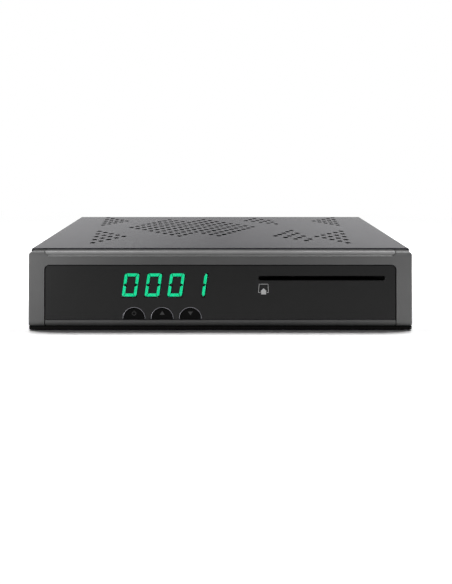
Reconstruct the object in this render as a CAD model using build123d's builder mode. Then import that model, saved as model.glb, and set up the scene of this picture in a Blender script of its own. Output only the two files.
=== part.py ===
from build123d import *
from math import cos, radians, sin, tan
import os

# A small satellite television receiver: a nosed plastic fascia on a folded steel case.
# Millimetres. +X to the right seen from the front, +Y to the back, +Z up. The origin is on the
# floor, under the middle of the whole length from the fascia to the tips of the aerial sockets.

os.makedirs("parts", exist_ok=True)

# ---- Driving sizes -------------------------------------------------------------------------
fascia_width = 220.0
overall_height = 46.5
case_depth = 166.0  # front of the fascia to the outside of the rear wall
connector_reach = 10.0  # aerial sockets beyond the rear wall

touch = 0.3  # air between pieces that don't touch
seam = 0.25  # joint line between neighbouring trim pieces
slip = 0.1  # a sliding fit, each side
screw_fit = 0.05  # a screw in its thread, each side

front_y = -(case_depth + connector_reach) / 2
rear_y = front_y + case_depth
half_width = fascia_width / 2


def deep(depth):
    """Y of a depth behind the front of the fascia."""
    return front_y + depth


def block(x, y, z, mode=Mode.ADD):
    """A box between a low and a high limit along each axis."""
    with Locations(((x[0] + x[1]) / 2, (y[0] + y[1]) / 2, (z[0] + z[1]) / 2)):
        Box(x[1] - x[0], y[1] - y[0], z[1] - z[0], mode=mode)


def rod(start, direction, radius, length, mode=Mode.ADD):
    """A round bar or a round hole that leaves start along direction."""
    with Locations(Plane(origin=start, z_dir=direction)):
        Cylinder(radius, length, align=(Align.CENTER, Align.CENTER, Align.MIN), mode=mode)


def hexagon(start, direction, across, length, mode=Mode.ADD):
    """A hexagonal bar, given across its flats, that leaves start along direction."""
    with BuildSketch(Plane(origin=start, z_dir=direction)) as flats:
        RegularPolygon(across / 2, 6, major_radius=False)
    extrude(flats.sketch, amount=length, mode=mode)


def upright(y):
    """The XZ plane at y, seen from the front, so a negative amount goes back."""
    return Plane.XZ.offset(-y)


# ---- Fascia sizes --------------------------------------------------------------------------
fascia_depth = 6.0
cover_rise = 0.9  # the cover's front edge shows above the fascia
edge_round = 2.0  # long upper front edge
lower_round = 2.8  # long lower front edge
corner_round = 2.8  # upper outer corners
end_round = 0.6  # upright front edges
cheek_width = 9.0
fascia_skin = 2.5  # front wall of the frame
fascia_wall = 1.6  # side and top walls of the frame
plinth_bottom = 0.6
plinth_top = 2.4
plinth_setback = 1.0
lip_top = 6.2
bar_height = 2.1
bar_gap = 0.15  # under the trim bar
bar_end_gap = 0.5  # at its ends
band_edge = 0.7  # slope along the top of the band, under the bar
band_height = 5.5
opening_corner = 3.0
bar_corner = 2.0
window_recess = 0.5
window_seam = 0.55  # shadow line round the window and at the ends of the lip

opening_half = half_width - cheek_width
fascia_top = overall_height - cover_rise
bar_bottom = fascia_top - bar_height
band_top = bar_bottom - bar_gap
band_bottom = band_top - band_height
window_middle = (lip_top + band_bottom) / 2
fascia_back = deep(fascia_depth)
carrier_front = deep(fascia_skin)
carrier_thick = 2.0
carrier_back = carrier_front + carrier_thick

# Push buttons: half-round caps that stand on the lip
first_button = 51.5  # from the left end of the window
button_pitch = 16.15
button_names = ("power_button", "channel_up_button", "channel_down_button")
button_centre_z = 7.0
button_radius = 5.85
button_dish = 0.45
button_dish_radius = 34.0
ring_width = 0.4
ring_front = deep(0.2)
button_front = deep(0.1)
button_travel = 0.8
stem_radius = 1.6
stem_z = 9.2
button_flange = 1.4  # the flange's rim beyond the cap
button_flange_thick = 1.0

button_xs = {
    name: -opening_half + first_button + index * button_pitch for index, name in enumerate(button_names)
}
button_floor = lip_top + touch
ring_inner = button_radius + touch
ring_outer = ring_inner + ring_width
button_flange_front = carrier_back + touch
button_flange_back = button_flange_front + button_flange_thick

# Card slot and the card reader behind it
slot_size = (72.6, 2.4)
slot_margin = 6.4  # to the right end of the window
slot_drop = 8.0  # below the band
slot_bevel = 0.4
slot_centre = (opening_half - slot_margin - slot_size[0] / 2, band_bottom - slot_drop)

# Seven-segment display, seen through the smoked window
digit_pitch = 13.1
digit_shift = 68.9  # from the left end of the window to the middle of the digits
digit_rise = 3.7  # above the middle of the window
digit_centre = (-opening_half + digit_shift, window_middle + digit_rise)
digit_count = 4
digit_size = (8.4, 13.25)
digit_slant = 8.0  # degrees
segment_width = 1.7
segment_gap = 0.18
segment_thick = 0.2
shown = ("abcdef", "abcdef", "abcdef", "bc")
module_size = (54.0, 19.0)
module_front = carrier_front + touch

# Front circuit board
board_thick = 1.6
floor_clear = 5.0
front_board_y = deep(13.0)
front_board_end = 3.0  # from the ends of the window and the display
front_board_x = (-opening_half + front_board_end, digit_centre[0] + module_size[0] / 2 + front_board_end)
front_board_z = (floor_clear, band_bottom + slip)
switch_size = 6.0
switch_height = 3.5
plunger_radius = 1.75
plunger_reach = 1.2
plunger_inside = 1.3
infrared_shift = 35.0  # from the left end of the window
infrared_x = -opening_half + infrared_shift
infrared_z = window_middle
infrared_size = (5.6, 7.0)
infrared_depth = 5.6
infrared_lens = 2.2
boss_radius = 3.0
pilot_radius = 1.1
screw_inset = 5.0
front_screws = (
    (front_board_x[0] + screw_inset, front_board_z[1] - screw_inset),
    (front_board_x[0] + screw_inset, front_board_z[0] + screw_inset),
    (front_board_x[1] - boss_radius, front_board_z[0] + boss_radius + slip),
)
front_screw_reach = 5.0
front_screw_head = (2.5, 1.6)  # radius, height

# ---- Case sizes ----------------------------------------------------------------------------
sheet = 0.8
cover_inset = 0.2  # behind the end of the fascia
cover_half = half_width - cover_inset
cover_top = overall_height
cover_bottom = 3.6
cover_bend = 1.0
cover_front = fascia_back + touch
floor_bottom = plinth_top
floor_top = floor_bottom + sheet
tray_half = cover_half - sheet - slip
tray_front = carrier_back + touch
flange_height = 14.0
under_cover = cover_top - sheet
wall_front = rear_y - sheet

foot_radius = 6.0
foot_stem = 2.0
foot_head = (3.2, 1.4)  # radius, height
foot_inset = (18.0, 22.0)

vent_slot = (5.4, 3.1)  # along the depth, across
floor_vent = (36.0, 2.6)
floor_vent_pitch = 6.0
floor_vent_count = 10
floor_vent_xs = (-50.0, 50.0)
floor_vent_back = 76.0  # in front of the outside of the rear wall
floor_vent_y = rear_y - floor_vent_back
side_screw_depths = (40.0, 140.0)
side_screw_z = 9.0
side_screw = (1.5, 6.0, 2.9, 1.1)  # thread radius, reach, head radius, head height

hook_y = (deep(15.0), deep(17.5))
hook_z = (7.0, 12.0)
hook_reach = 0.9
hook_tab = 1.8

# Main board on its pillars
pillar_height = 5.0
pillar_across = 5.5
board_half = cover_half - side_screw[1] - sheet
board_x = (-board_half, board_half)
board_y = (deep(20.0), wall_front - 1.2)
board_bottom = floor_top + pillar_height
board_top = board_bottom + board_thick
pillar_inset = 4.0
tuner_length = 29.7
reader_half = 38.0
pillar_xs = (
    -board_half + pillar_inset,
    slot_centre[0] - reader_half - pillar_inset,
    board_half - pillar_inset,
)
pillar_ys = (board_y[0] + screw_inset, wall_front - tuner_length - 2 * screw_inset)
board_screw = (1.5, 5.0, 2.8, 1.8)  # thread radius, reach, head radius, head height
screw_slack = 0.2

# ---- Fascia --------------------------------------------------------------------------------


def nosed(low, high, x_half, depth):
    """A bar along X, cut between two heights from the fascia's rounded cross-section."""
    with BuildSketch(Plane.YZ.offset(-x_half)) as section:
        with Locations((front_y + fascia_depth / 2, (plinth_top + fascia_top) / 2)):
            Rectangle(fascia_depth, fascia_top - plinth_top)
        fillet(section.vertices().group_by(Axis.X)[0].sort_by(Axis.Y)[-1], edge_round)
        fillet(section.vertices().group_by(Axis.X)[0].sort_by(Axis.Y)[0], lower_round)
        with Locations((front_y + depth / 2, (low + high) / 2)):
            Rectangle(depth, high - low, mode=Mode.INTERSECT)
    extrude(section.sketch, amount=2 * x_half)


def half_round(radius, x, floor_z, mode=Mode.ADD):
    """A disc about a button's centre, kept above floor_z, on the sketch being drawn."""
    with BuildSketch(mode=Mode.PRIVATE) as shape:
        with Locations((x, button_centre_z)):
            Circle(radius)
        with Locations((x, floor_z + 2 * radius)):
            Rectangle(2 * radius, 4 * radius, mode=Mode.INTERSECT)
    add(shape.sketch, mode=mode)


def long_slot(grow, mode=Mode.ADD):
    """The card slot with round ends, grown by an amount on every side."""
    with Locations(slot_centre):
        SlotOverall(slot_size[0] + 2 * grow, slot_size[1] + 2 * grow, mode=mode)


with BuildPart() as fascia_frame:
    nosed(plinth_top, fascia_top, half_width, fascia_depth)
    with BuildSketch(upright(front_y)) as outline:
        with Locations((0, (plinth_top + fascia_top) / 2)):
            Rectangle(fascia_width, fascia_top - plinth_top)
        fillet(outline.vertices().group_by(Axis.Y)[-1], corner_round)
    extrude(amount=-fascia_depth, mode=Mode.INTERSECT)
    with BuildSketch() as plan:
        with Locations((0, front_y + fascia_depth / 2)):
            Rectangle(fascia_width, fascia_depth)
        fillet(plan.vertices().group_by(Axis.Y)[0], end_round)
    extrude(amount=overall_height, mode=Mode.INTERSECT)
    with BuildSketch(upright(front_y)) as opening:
        with Locations((0, band_bottom / 2)):
            Rectangle(2 * opening_half, band_bottom)
        fillet(opening.vertices().group_by(Axis.Y)[-1], opening_corner)
    extrude(amount=-fascia_depth, mode=Mode.SUBTRACT)
    with BuildSketch(upright(front_y)) as bar_recess:
        with Locations((0, band_top + overall_height / 2)):
            Rectangle(2 * opening_half, overall_height)
        fillet(bar_recess.vertices().group_by(Axis.Y)[0], bar_corner + bar_gap)
    extrude(amount=-fascia_depth, mode=Mode.SUBTRACT)
    slope_half = opening_half - bar_corner - bar_gap
    with BuildSketch(Plane.YZ.offset(-slope_half)):
        with BuildLine():
            Polyline(
                (front_y, band_top - band_edge),
                (front_y, band_top),
                (front_y + band_edge, band_top),
                close=True,
            )
        make_face()
    extrude(amount=2 * slope_half, mode=Mode.SUBTRACT)
    block(
        (-half_width + fascia_wall, half_width - fascia_wall),
        (carrier_front, fascia_back),
        (plinth_top, fascia_top - fascia_wall),
        mode=Mode.SUBTRACT,
    )
fascia_frame.part.label = "fascia_frame"
export_step(fascia_frame.part, "parts/fascia_frame.step")

with BuildPart() as top_trim_bar:
    nosed(bar_bottom, fascia_top, opening_half - bar_end_gap, fascia_depth)
    with BuildSketch(upright(front_y)) as bar_outline:
        with Locations((0, bar_bottom + overall_height / 2)):
            Rectangle(2 * (opening_half - bar_end_gap), overall_height)
        fillet(bar_outline.vertices().group_by(Axis.Y)[0], bar_corner)
    extrude(amount=-fascia_depth, mode=Mode.INTERSECT)
top_trim_bar.part.label = "top_trim_bar"
export_step(top_trim_bar.part, "parts/top_trim_bar.step")

with BuildPart() as lower_lip:
    nosed(plinth_top, lip_top, opening_half - window_seam, fascia_skin)
    upper_front_edge = lower_lip.edges().filter_by(Axis.X).group_by(Axis.Z)[-1].sort_by(Axis.Y)[0]
    fillet(upper_front_edge, seam * 3)
lower_lip.part.label = "lower_lip"
export_step(lower_lip.part, "parts/lower_lip.step")

with BuildPart() as front_window:
    with BuildSketch(upright(deep(window_recess))) as pane:
        pane_low = lip_top + seam
        pane_high = band_bottom - window_seam
        with Locations((0, (pane_low + pane_high) / 2)):
            Rectangle(2 * (opening_half - window_seam), pane_high - pane_low)
        fillet(pane.vertices().group_by(Axis.Y)[-1], opening_corner - window_seam)
        for x in button_xs.values():
            half_round(ring_outer + slip, x, 0, mode=Mode.SUBTRACT)
        long_slot(0, mode=Mode.SUBTRACT)
    extrude(amount=-(fascia_skin - window_recess))
    slot_rim = front_window.edges().filter_by_position(
        Axis.X, slot_centre[0] - slot_size[0] / 2, slot_centre[0] + slot_size[0] / 2
    )
    slot_zs = (slot_centre[1] - slot_size[1], slot_centre[1] + slot_size[1])
    slot_rim = slot_rim.filter_by_position(Axis.Z, *slot_zs)
    chamfer(slot_rim.group_by(Axis.Y)[0], slot_bevel)
front_window.part.label = "front_window"
export_step(front_window.part, "parts/front_window.step")

carrier_half = half_width - fascia_wall - touch
ledge_half = opening_half - cheek_width
ledge_thick = 1.6
tab_width = 14.0
tab_depth = 9.0
tab_inset = 31.0
tab_xs = (-opening_half + tab_inset, 0.0, opening_half - tab_inset)

with BuildPart() as fascia_carrier:
    carrier_top = bar_bottom - slip
    block((-carrier_half, carrier_half), (carrier_front, carrier_back), (plinth_bottom, carrier_top))
    block(
        (-half_width + slip, half_width - slip),
        (deep(plinth_setback), carrier_back),
        (plinth_bottom, plinth_top - slip),
    )
    # Step under the trim bar that carries the front edge of the cover
    ledge_back = cover_front + ledge_thick
    ledge_low = bar_bottom - ledge_thick
    block((-ledge_half, ledge_half), (carrier_back, ledge_back), (ledge_low, bar_bottom))
    block((-ledge_half, ledge_half), (cover_front, ledge_back), (ledge_low, under_cover))
    # Tabs that lie on the case floor
    for x in tab_xs:
        block(
            (x - tab_width / 2, x + tab_width / 2),
            (carrier_back, carrier_back + tab_depth),
            (floor_top, floor_top + ledge_thick),
        )
    # Side arms with barbs that snap into the case sides
    for side in (-1, 1):
        arm_outer = tray_half - sheet - slip
        block(
            sorted((side * (arm_outer - hook_tab), side * arm_outer)),
            (carrier_back, hook_y[1]),
            hook_z,
        )
        block(
            sorted((side * arm_outer, side * (arm_outer + hook_reach))),
            hook_y,
            hook_z,
        )
    # Bosses for the front circuit board
    for x, z in front_screws:
        rod((x, carrier_back, z), (0, 1, 0), boss_radius, front_board_y - carrier_back)
        pilot_depth = front_screw_reach + touch
        rod((x, front_board_y, z), (0, -1, 0), pilot_radius, pilot_depth, mode=Mode.SUBTRACT)
    with BuildSketch(upright(deep(0))) as openings:
        for x in button_xs.values():
            half_round(ring_inner, x, button_floor - touch)
        long_slot(touch)
        with Locations(digit_centre):
            Rectangle(module_size[0] + 2 * touch, module_size[1] + 2 * touch)
        with Locations((infrared_x, infrared_z)):
            Circle(infrared_lens + touch)
    extrude(amount=-(carrier_back - front_y), mode=Mode.SUBTRACT)
fascia_carrier.part.label = "fascia_carrier"
export_step(fascia_carrier.part, "parts/fascia_carrier.step")

with BuildPart() as button_rings:
    with BuildSketch(upright(ring_front)):
        for x in button_xs.values():
            half_round(ring_outer, x, button_floor)
            half_round(ring_inner, x, button_floor, mode=Mode.SUBTRACT)
    extrude(amount=-(carrier_front - ring_front))
button_rings.part.label = "button_rings"
export_step(button_rings.part, "parts/button_rings.step")

switch_front = front_board_y - switch_height
plunger_front = switch_front - plunger_reach

for label, x in button_xs.items():
    with BuildPart() as button:
        with BuildSketch(upright(button_front)):
            half_round(button_radius, x, button_floor)
        extrude(amount=-(button_flange_front - button_front))
        dish_y = button_front + button_dish - button_dish_radius
        with Locations((x, dish_y, button_centre_z + button_radius / 2)):
            Sphere(button_dish_radius, mode=Mode.SUBTRACT)
        with BuildSketch(upright(button_flange_front)):
            half_round(button_radius + button_flange, x, button_floor)
        extrude(amount=-button_flange_thick)
        rod((x, button_flange_back, stem_z), (0, 1, 0), stem_radius, plunger_front - button_flange_back)
    button.part.label = label
    export_step(button.part, f"parts/{label}.step")

    with BuildPart() as plunger:
        rod((x, plunger_front, stem_z), (0, 1, 0), plunger_radius, plunger_reach + plunger_inside)
    plunger.part.label = label.replace("button", "plunger")
    export_step(plunger.part, f"parts/{plunger.part.label}.step")

with BuildPart() as tact_switches:
    for x in button_xs.values():
        half = switch_size / 2
        block((x - half, x + half), (switch_front, front_board_y), (stem_z - half, stem_z + half))
        rod(
            (x, switch_front, stem_z),
            (0, 1, 0),
            plunger_radius + slip,
            plunger_inside + button_travel + touch,
            mode=Mode.SUBTRACT,
        )
tact_switches.part.label = "tact_switches"
export_step(tact_switches.part, "parts/tact_switches.step")

# ---- Display -------------------------------------------------------------------------------
with BuildPart() as display_module:
    block(
        (digit_centre[0] - module_size[0] / 2, digit_centre[0] + module_size[0] / 2),
        (module_front, front_board_y),
        (digit_centre[1] - module_size[1] / 2, digit_centre[1] + module_size[1] / 2),
    )
display_module.part.label = "display_module"
export_step(display_module.part, "parts/display_module.step")


def segment(letter, digit_x):
    """Outline of one display segment: a point at each outer end and the digit's slant."""
    w = digit_size[0] / 2
    h = digit_size[1] / 2
    t = segment_width
    g = segment_gap
    bevel = t / 2
    upper_left = [
        (-w, g),
        (-w, h - bevel),
        (-w + bevel, h),
        (-w + t, h - t),
        (-w + t, t / 2 + g),
    ]
    top = [
        (-w + bevel + 2 * g, h),
        (w - bevel - 2 * g, h),
        (w - t - 2 * g, h - t),
        (-w + t + 2 * g, h - t),
    ]
    middle = [
        (-w + t / 2 + g, 0),
        (-w + t + g, t / 2),
        (w - t - g, t / 2),
        (w - t / 2 - g, 0),
        (w - t - g, -t / 2),
        (-w + t + g, -t / 2),
    ]
    shapes = {
        "a": top,
        "b": [(-x, z) for x, z in upper_left],
        "c": [(-x, -z) for x, z in upper_left],
        "d": [(x, -z) for x, z in top],
        "e": [(x, -z) for x, z in upper_left],
        "f": upper_left,
        "g": middle,
    }
    slant = tan(radians(digit_slant))
    return [(digit_x + x + z * slant, digit_centre[1] + z) for x, z in shapes[letter]]


def segments(lit):
    """Draws the lit or the unlit segments of the whole display on the sketch being drawn."""
    for index in range(digit_count):
        digit_x = digit_centre[0] + (index - (digit_count - 1) / 2) * digit_pitch
        for letter in "abcdefg":
            if (letter in shown[index]) == lit:
                with BuildSketch(mode=Mode.PRIVATE) as bar:
                    with BuildLine():
                        Polyline(*segment(letter, digit_x), close=True)
                    make_face()
                add(bar.sketch)


with BuildPart() as lit_segments:
    with BuildSketch(upright(module_front)):
        segments(True)
    extrude(amount=segment_thick)
lit_segments.part.label = "lit_segments"
export_step(lit_segments.part, "parts/lit_segments.step")

with BuildPart() as unlit_segments:
    with BuildSketch(upright(module_front)):
        segments(False)
    extrude(amount=segment_thick)
unlit_segments.part.label = "unlit_segments"
export_step(unlit_segments.part, "parts/unlit_segments.step")

# ---- Front circuit board -------------------------------------------------------------------
front_board_back = front_board_y + board_thick

with BuildPart() as front_board:
    block(front_board_x, (front_board_y, front_board_back), front_board_z)
    for x, z in front_screws:
        hole_radius = pilot_radius + screw_slack
        rod((x, front_board_y, z), (0, 1, 0), hole_radius, board_thick, mode=Mode.SUBTRACT)
front_board.part.label = "front_board"
export_step(front_board.part, "parts/front_board.step")

with BuildPart() as front_board_screws:
    for x, z in front_screws:
        shank = board_thick + front_screw_reach
        rod((x, front_board_back, z), (0, -1, 0), pilot_radius - screw_fit, shank)
        rod((x, front_board_back, z), (0, 1, 0), *front_screw_head)
front_board_screws.part.label = "front_board_screws"
export_step(front_board_screws.part, "parts/front_board_screws.step")

with BuildPart() as infrared_receiver:
    lens_front = front_board_y - infrared_depth
    block(
        (infrared_x - infrared_size[0] / 2, infrared_x + infrared_size[0] / 2),
        (lens_front, front_board_y),
        (infrared_z - infrared_size[1] / 2, infrared_z + infrared_size[1] / 2),
    )
    with Locations((infrared_x, lens_front, infrared_z)):
        Sphere(infrared_lens)
infrared_receiver.part.label = "infrared_receiver"
export_step(infrared_receiver.part, "parts/infrared_receiver.step")

# Flat cable from the front board down to the main board
cable_width = 18.0
cable_shift = 31.0
cable_x = -opening_half + cable_shift
cable_thick = 0.3
cable_bend = 3.0
header_depth = 4.0
header_height = 6.0
header_width = cable_width + 2.0
front_header_z = 20.0
main_header_inset = 14.0  # behind the front edge of the main board
main_header_y = board_y[0] + main_header_inset

with BuildPart() as cable_headers:
    x_limits = (cable_x - header_width / 2, cable_x + header_width / 2)
    front_header_y = (front_board_back, front_board_back + header_depth)
    block(x_limits, front_header_y, (front_header_z, front_header_z + header_height))
    main_header_limits = (main_header_y, main_header_y + header_depth)
    block(x_limits, main_header_limits, (board_top, board_top + header_height))
cable_headers.part.label = "cable_headers"
export_step(cable_headers.part, "parts/cable_headers.step")

with BuildPart() as ribbon_cable:
    cable_high = front_header_z + header_height / 2
    turn_y = main_header_y + header_depth / 2
    with BuildSketch(Plane.YZ.offset(cable_x - cable_width / 2)):
        with BuildLine():
            route = FilletPolyline(
                (front_board_back + header_depth, cable_high),
                (turn_y, cable_high),
                (turn_y, board_top + header_height),
                radius=cable_bend,
            )
        trace(route, line_width=cable_thick)
    extrude(amount=cable_width)
ribbon_cable.part.label = "ribbon_cable"
export_step(ribbon_cable.part, "parts/ribbon_cable.step")

# ---- Case ----------------------------------------------------------------------------------
vent_groups = []


def lattice(start, step_a, step_b, places):
    """Points start + i * step_a + j * step_b, measured from the cover's front edge."""
    return [
        (
            start[0] + i * step_a[0] + j * step_b[0],
            cover_front + start[1] + i * step_a[1] + j * step_b[1],
        )
        for i, j in places
    ]


# Triangles at the four corners, point inwards; two joined diamonds; two wedges to their right
arrow_rows = 5
arrow = [(i, i / 2 + j) for i in range(arrow_rows) for j in range(arrow_rows - i)]
front_arrow_inset = (32.2, 20.7)  # from the side and the front edge
front_arrow_column = (4.37, 0.37)
front_arrow_pitch = (-1.05, 13.3)
rear_arrow_inset = (25.2, 51.7)  # from the side and the rear edge
rear_arrow_column = (3.95, 0.3)
rear_arrow_pitch = (-0.8, 11.8)
diamond_count = 8
diamond_offset_count = 3
diamond_start = (47.4, 94.6)  # from the left side and the front edge
diamond_step_a = (5.13, -6.25)
diamond_step_b = (3.4, 6.55)
front_wedge_inset = (74.0, 51.1)  # from the right side and the front edge
front_wedge_step_a = (5.82, -7.05)
front_wedge_step_b = (3.17, 6.7)
rear_wedge_inset = (90.4, 24.5)  # from the right side and the rear edge
rear_wedge_step_a = (5.3, -5.2)
rear_wedge_step_b = (3.4, 6.3)

both_diamonds = {
    (i + shift, j + shift)
    for shift in (0, diamond_offset_count)
    for i in range(diamond_count)
    for j in range(diamond_count)
}
front_wedge = [(i, j) for i in range(arrow_rows - 1) for j in range(arrow_rows - i)]
rear_wedge = [(i, j) for j in range(arrow_rows - 2) for i in range(arrow_rows - j)]
cover_length = rear_y - cover_front

for side in (-1, 1):
    corner = (side * (cover_half - front_arrow_inset[0]), front_arrow_inset[1])
    column = (-side * front_arrow_column[0], front_arrow_column[1])
    pitch = (-side * front_arrow_pitch[0], front_arrow_pitch[1])
    vent_groups += lattice(corner, column, pitch, arrow)
    corner = (side * (cover_half - rear_arrow_inset[0]), cover_length - rear_arrow_inset[1])
    column = (-side * rear_arrow_column[0], rear_arrow_column[1])
    pitch = (-side * rear_arrow_pitch[0], rear_arrow_pitch[1])
    vent_groups += lattice(corner, column, pitch, arrow)
left_tip = (-cover_half + diamond_start[0], diamond_start[1])
vent_groups += lattice(left_tip, diamond_step_a, diamond_step_b, sorted(both_diamonds))
front_tip = (cover_half - front_wedge_inset[0], front_wedge_inset[1])
vent_groups += lattice(front_tip, front_wedge_step_a, front_wedge_step_b, front_wedge)
rear_tip = (cover_half - rear_wedge_inset[0], cover_length - rear_wedge_inset[1])
vent_groups += lattice(rear_tip, rear_wedge_step_a, rear_wedge_step_b, rear_wedge)

with BuildPart() as top_cover:
    with BuildSketch(upright(cover_front)) as hoop:
        with Locations((0, (cover_bottom + cover_top) / 2)):
            Rectangle(2 * cover_half, cover_top - cover_bottom)
        fillet(hoop.vertices().group_by(Axis.Y)[-1], cover_bend)
        with BuildSketch(mode=Mode.PRIVATE) as inside:
            with Locations((0, (cover_bottom - sheet + under_cover) / 2)):
                Rectangle(2 * (cover_half - sheet), under_cover - cover_bottom + sheet)
            fillet(inside.vertices().group_by(Axis.Y)[-1], cover_bend - sheet)
        add(inside.sketch, mode=Mode.SUBTRACT)
    extrude(amount=-(rear_y - cover_front))
    with BuildSketch(Plane.XY.offset(cover_top)):
        with Locations(*vent_groups):
            SlotOverall(*vent_slot, rotation=90)
    extrude(amount=-2 * sheet, mode=Mode.SUBTRACT)
    for depth in side_screw_depths:
        rod(
            (-half_width, deep(depth), side_screw_z),
            (1, 0, 0),
            side_screw[0] + screw_slack,
            fascia_width,
            mode=Mode.SUBTRACT,
        )
top_cover.part.label = "top_cover"
export_step(top_cover.part, "parts/top_cover.step")

with BuildPart() as cover_screws:
    for side in (-1, 1):
        for depth in side_screw_depths:
            seat = (side * cover_half, deep(depth), side_screw_z)
            rod(seat, (-side, 0, 0), side_screw[0], side_screw[1])
            rod(seat, (side, 0, 0), side_screw[2], side_screw[3])
cover_screws.part.label = "cover_screws"
export_step(cover_screws.part, "parts/cover_screws.step")

# ---- Rear sockets: where each one stands ---------------------------------------------------
wall_back = rear_y
cut = touch  # air around a socket in the rear wall

socket_gap = 2.0
tuner_width = 44.0
tuner_x = (-board_half + socket_gap, -board_half + socket_gap + tuner_width)
aerial_xs = {
    "aerial_socket_in": tuner_x[0] + tuner_width / 4,
    "aerial_socket_out": tuner_x[1] - tuner_width / 4,
}
aerial_z = board_top + 9.0
thread_radius = 4.75
thread_relief = 0.4  # down to the root of the thread, where the nut grips
aerial_collar = (5.5, 2.0)  # radius, length
aerial_core = 1.1
tuner_y = (wall_front - aerial_collar[1] - touch - tuner_length, wall_front - aerial_collar[1] - touch)
tuner_height = 18.0
nut_across = 11.0
nut_thick = 2.0

hdmi_size = (15.0, 12.0, 6.2)
hdmi_x = tuner_x[1] + socket_gap + hdmi_size[0] / 2
hdmi_wall = 0.5
hdmi_lift = 0.4
scart_size = (50.0, 14.0, 17.0)
scart_x = hdmi_x + hdmi_size[0] / 2 + socket_gap + scart_size[0] / 2
scart_mouth = (45.0, 12.4)
scart_corner = 3.5
scart_core_size = (38.0, 6.0)
scart_depth = 10.0
scart_lip = 1.0
scart_wall = 1.0
scart_pitch = 3.6
scart_slot_count = 10
scart_row = 1.5
scart_slot = (1.8, 0.8)

phono_block = (28.0, 11.0, 29.5)
phono_pitch = 14.0
phono_low = board_top + 8.0
phono_middle = scart_x + scart_size[0] / 2 + socket_gap + phono_block[0] / 2
phono_xs = (phono_middle - phono_pitch / 2, phono_middle + phono_pitch / 2)
phono_zs = (phono_low, phono_low + phono_pitch)
phono_collar = (4.9, 1.8)  # radius, beyond the wall
phono_shell = 4.15
phono_bore = 3.3
phono_reach = 9.0
phono_relief = 0.4  # the shell is thinner inside its collar
phono_pin = 1.6
phono_names = ("phono_audio_left", "phono_digital", "phono_audio_right", "phono_video")

optical_size = (9.8, 13.5, 10.0)
optical_x = phono_middle + phono_block[0] / 2 + socket_gap + optical_size[0] / 2
optical_mouth = (7.0, 7.0)
optical_depth = 9.0
shutter_thick = 0.8
shutter_pin = 0.35
shutter_seat = 0.6

usb_size = (13.2, 14.0, 5.8)
usb_wall = 0.4
usb_tongue_thick = 1.8

power_size = (9.0, 13.0, 11.0)
power_x = board_half - screw_inset
usb_x = power_x - power_size[0] / 2 - socket_gap - usb_size[0] / 2
power_bore = 3.1
power_depth = 9.0
power_pin = 1.0

rocker_x = usb_x
rocker_drop = 12.7  # below the inside of the cover
rocker_z = under_cover - rocker_drop
rocker_bezel = (10.6, 15.0, 1.5)
rocker_body = (8.4, 13.2, 13.0)
rocker_wall = 0.9
rocker_swing = 16.0  # degrees from one side to the other
rocker_rise = 1.8  # from the pivot out to the middle of the face
rocker_pin = 0.9
rocker_seat = 0.6

with BuildPart() as base_tray:
    block((-tray_half, tray_half), (cover_front, wall_back), (floor_bottom, floor_top))
    block((-carrier_half, carrier_half), (tray_front, cover_front), (floor_bottom, floor_top))
    for side in (-1, 1):
        limits = sorted((side * (tray_half - sheet), side * tray_half))
        block(limits, (cover_front, wall_back), (floor_bottom, flange_height))
        # Window for the fascia's barb
        block(
            limits,
            (hook_y[0] - touch, hook_y[1] + touch),
            (hook_z[0] - touch, hook_z[1] + touch),
            mode=Mode.SUBTRACT,
        )
    bend_low = under_cover - cover_bend
    bend_half = tray_half - cover_bend
    block((-tray_half, tray_half), (wall_front, wall_back), (floor_bottom, bend_low))
    block((-bend_half, bend_half), (wall_front, wall_back), (bend_low, under_cover))
    # Return at the top of the rear wall, under the cover
    return_y = (wall_back - flange_height / 2, wall_back)
    block((-bend_half, bend_half), return_y, (under_cover - sheet, under_cover))
    for depth in side_screw_depths:
        rod(
            (-half_width, deep(depth), side_screw_z),
            (1, 0, 0),
            side_screw[0] + screw_fit,
            fascia_width,
            mode=Mode.SUBTRACT,
        )
    for side in (-1, 1):
        for y in (cover_front + foot_inset[1], rear_y - foot_inset[1]):
            rod(
                (side * (tray_half - foot_inset[0]), y, floor_bottom),
                (0, 0, 1),
                foot_stem,
                sheet,
                mode=Mode.SUBTRACT,
            )
    # Two fields of slots in the floor let cool air in under the board
    with BuildSketch(Plane.XY.offset(floor_bottom)):
        for x in floor_vent_xs:
            with Locations((x, floor_vent_y)):
                with GridLocations(floor_vent_pitch, 1, floor_vent_count, 1):
                    SlotOverall(*floor_vent, rotation=90)
    extrude(amount=sheet, mode=Mode.SUBTRACT)
    # Holes in the rear wall for the sockets
    with BuildSketch(upright(wall_front)):
        for x in aerial_xs.values():
            with Locations((x, aerial_z)):
                Circle(thread_radius + touch)
        with Locations((hdmi_x, board_top + (hdmi_lift + hdmi_size[2]) / 2)):
            Rectangle(hdmi_size[0] + 2 * cut, hdmi_lift + hdmi_size[2] + 2 * cut)
        with Locations((scart_x, board_top + scart_size[2] / 2)):
            Rectangle(scart_mouth[0], scart_mouth[1])
        for x in phono_xs:
            for z in phono_zs:
                with Locations((x, z)):
                    Circle(phono_collar[0] + cut)
        with Locations((optical_x, board_top + optical_size[2] / 2)):
            Rectangle(optical_size[0] - 2 * sheet, optical_size[2] - 2 * sheet)
        with Locations((usb_x, board_top + (hdmi_lift + usb_size[2]) / 2)):
            Rectangle(usb_size[0] + 2 * cut, hdmi_lift + usb_size[2] + 2 * cut)
        with Locations((power_x, board_top + power_size[2] / 2)):
            Circle(power_bore + sheet)
        with Locations((rocker_x, rocker_z)):
            Rectangle(rocker_body[0] + 2 * slip, rocker_body[1] + 2 * slip)
    extrude(amount=-sheet, mode=Mode.SUBTRACT)
base_tray.part.label = "base_tray"
export_step(base_tray.part, "parts/base_tray.step")

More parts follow.
